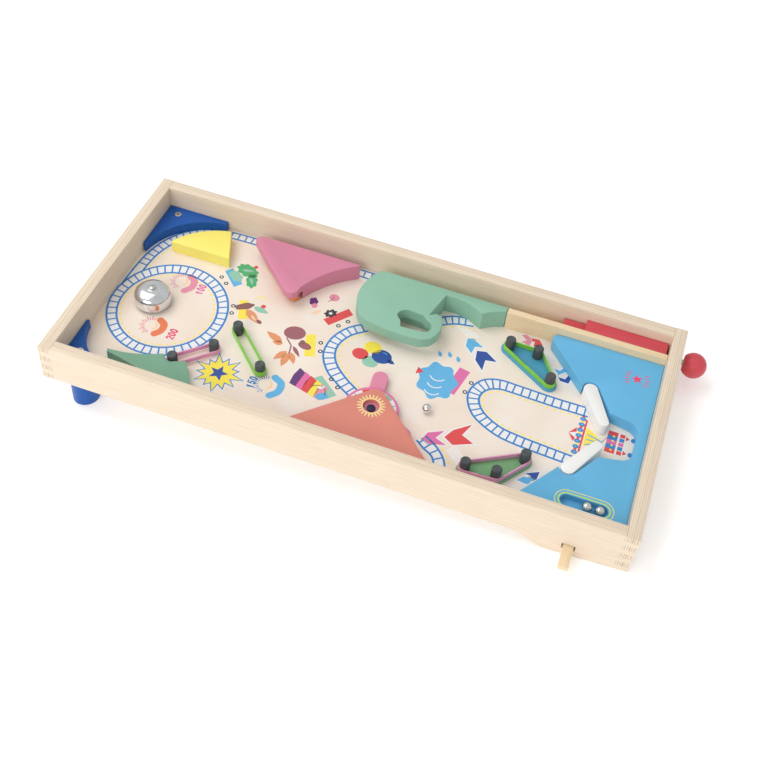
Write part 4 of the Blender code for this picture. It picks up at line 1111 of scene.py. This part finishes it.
def finishes():
    """Each node's finish, its own material, and how far its edges are rounded, in millimetres."""
    steel = metal("zinc_steel", (0.62, 0.62, 0.61), 0.2, 0.4)
    ball = metal("ball_steel", (0.80, 0.79, 0.77), 0.04, 0.1)
    red = paint("red_paint", (0.61, 0.07, 0.09), 0.4)
    dark_blue = paint("dark_blue_paint", (0.004, 0.085, 0.37), 0.4, 0.05, 0.08)
    green = paint("green_paint", (0.27, 0.50, 0.37))
    rods = beech("beech_across", 1)
    posts = plastic("post_plastic", (0.052, 0.062, 0.066))
    pink_band = rubber("pink_rubber", (0.80, 0.35, 0.55))
    green_band = rubber("green_rubber", (0.22, 0.60, 0.05))
    cranks = plastic("crank_plastic", (0.45, 0.45, 0.44))
    table = {
        "back_wall": (plywood("plywood_across", 1), 0.35),
        "front_wall": (plywood("plywood_across_low", 1), 0.35),
        "near_side_wall": (plywood("plywood_along", 0), 0.35),
        "far_side_wall": (plywood("plywood_along_far", 0), 0.35),
        "playfield_board": (printed_board("playfield"), 0.0),
        "lane_divider": (beech("beech_along", 0), 0.4),
        "spring_stop_block": (beech("beech_block", 0), 0.5),
        "foot_near": (dark_blue, 0.6), "foot_far": (dark_blue, 0.6),
        "corner_block_far": (dark_blue, 0.6), "corner_block_near": (dark_blue, 0.6),
        "corner_screw_far": (steel, 0.1), "corner_screw_near": (steel, 0.1),
        "yellow_block": (paint("yellow_paint", (0.92, 0.80, 0.17)), 0.6),
        "pink_roof_block": (paint("pink_paint", (0.66, 0.235, 0.345)), 0.7),
        "green_arch_block": (green, 0.7),
        "green_lens_block": (paint("deep_mint_paint", (0.20, 0.40, 0.27)), 0.7),
        "drain_plate": (paint("sky_paint", (0.13, 0.45, 0.72), 0.38), 0.5),
        "wheel_cover": (paint("salmon_paint", (0.71, 0.25, 0.19)), 0.5),
        "blue_triangle_plate": (paint("teal_paint", (0.075, 0.33, 0.50)), 0.4),
        "green_triangle_plate": (paint("leaf_paint", (0.20, 0.42, 0.20)), 0.4),
        "pink_bumper_band": (pink_band, 0.12), "near_bumper_band": (pink_band, 0.12),
        "green_bumper_band": (green_band, 0.12), "far_bumper_band": (green_band, 0.12),
        "roof_bumper_band": (rubber("orange_rubber", (0.78, 0.22, 0.05)), 0.12),
        "bell_dome": (metal("bell_chrome", (0.80, 0.82, 0.84), 0.10, 0.12, depth=0.002), 0.0),
        "bell_post": (steel, 0.1),
        "wheel_axle": (metal("blackened_steel", (0.06, 0.06, 0.10), 0.3, 0.5), 0.1),
        "score_wheel": (paint("wheel_paint", (0.72, 0.25, 0.37)), 0.4),
        "plunger_striker": (red, 0.3), "plunger_knob": (red, 0.4), "plunger_cover": (red, 0.4),
        "plunger_shaft": (steel, 0.1),
    }
    white = paint("white_paint", (0.86, 0.86, 0.84), 0.3, 0.35, 0.0)
    for side in ("near", "far"):
        table[f"flipper_{side}"] = (white, 0.5)
        table[f"flipper_pin_{side}"] = (steel, 0.1)
        table[f"flipper_crank_{side}"] = (cranks, 0.3)
        table[f"push_rod_{side}"] = (rods, 0.5)
        table[f"return_spring_{side}"] = (steel, 0.0)
    table["plunger_spring"] = (steel, 0.0)
    for name in NODES:
        if "_post_" in name and name not in table:
            table[name] = (posts, 0.35)
    for name in ("field_ball", "spare_ball_1", "spare_ball_2"):
        table[name] = (ball, 0.0)
    return table, posts, steel


def dress_nodes():
    """Gives each CAD node its finish and its rounded edges. The springs are replaced later."""
    table, posts, steel = finishes()
    for name, obj in NODES.items():
        material, width = table[name]
        obj.data.materials.clear()
        obj.data.materials.append(material)
        if "spring_" not in name or name == "spring_stop_block":
            soften(obj, max(width, FINE_BEVEL))
    return posts, steel


# ---------------------------------------------------------------- floor, light and camera

FLOOR_SIZE, FLOOR_GAP, FLOOR_GLOW = 6.0, 0.0005, 0.24
SKY_STRENGTH = 0.64

def floor():
    bm = bmesh.new()
    bmesh.ops.create_grid(bm, x_segments=1, y_segments=1, size=FLOOR_SIZE)
    mesh = bpy.data.meshes.new("studio_floor")
    bm.to_mesh(mesh)
    bm.free()
    finish = Finish("studio_floor", 0.9, specular=0.1)
    mottle = finish.noise(0.004, 2.0)
    finish.colour(finish.ramp(mottle, [(0.3, (0.93, 0.93, 0.93)), (0.7, (0.95, 0.95, 0.95))]))
    finish.shader.inputs["Emission Color"].default_value = (1, 1, 1, 1)
    finish.shader.inputs["Emission Strength"].default_value = FLOOR_GLOW
    mesh.materials.append(finish.material)
    obj = placed("studio_floor", mesh)
    obj.location.z = CAD_BOX[0][2] - FLOOR_GAP


def area_light(name, place, size, power):
    """A soft light facing the floor under the object, in metres and watts."""
    light = bpy.data.lights.new(name, "AREA")
    light.shape = "RECTANGLE"
    light.size, light.size_y = size
    light.energy = power
    obj = placed(name, light)
    obj.location = place
    obj.rotation_euler = (-Vector(place)).to_track_quat("-Z", "Y").to_euler()


def studio_light():
    world = bpy.data.worlds.new("studio_sky")
    bpy.context.scene.world = world
    world.use_nodes = True
    background = world.node_tree.nodes["Background"]
    background.inputs["Color"].default_value = (1.0, 1.0, 1.0, 1)
    background.inputs["Strength"].default_value = SKY_STRENGTH
    area_light("key_light", (-1.2, 0.1, 2.3), (1.8, 1.4), 24)
    area_light("fill_light", (-0.6, -2.2, 1.5), (1.8, 1.2), 24)


CAMERA_PLACE = Vector((0.24206, -0.75838, 0.89664))
CAMERA_TARGET = Vector((-0.00754, 0.00935, 0.0))
CAMERA_ROLL = math.radians(1.14)
CAMERA_LENS = 53.8


def camera():
    data = bpy.data.cameras.new("photo_angle")
    data.lens = CAMERA_LENS
    data.sensor_width = 36.0
    data.clip_start = 0.01
    obj = placed("photo_angle", data)
    look = (CAMERA_TARGET - CAMERA_PLACE).to_track_quat("-Z", "Y").to_matrix().to_4x4()
    obj.matrix_world = Matrix.Translation(CAMERA_PLACE) @ look @ Matrix.Rotation(CAMERA_ROLL, 4, "Z")
    bpy.context.scene.camera = obj


def main():
    bpy.context.scene.view_settings.view_transform = "Standard"
    posts, steel = dress_nodes()
    playfield_print()
    cover_print()
    wheel_print()
    drain_print()
    post_caps(posts)
    bell_washer(steel)
    # The black ink on the screw heads is painted shade for their cross recesses.
    screw_recess_shade(INK_FINISH["black"])
    plunger_spring(steel)
    return_springs(steel)
    floor()
    studio_light()
    camera()


main()
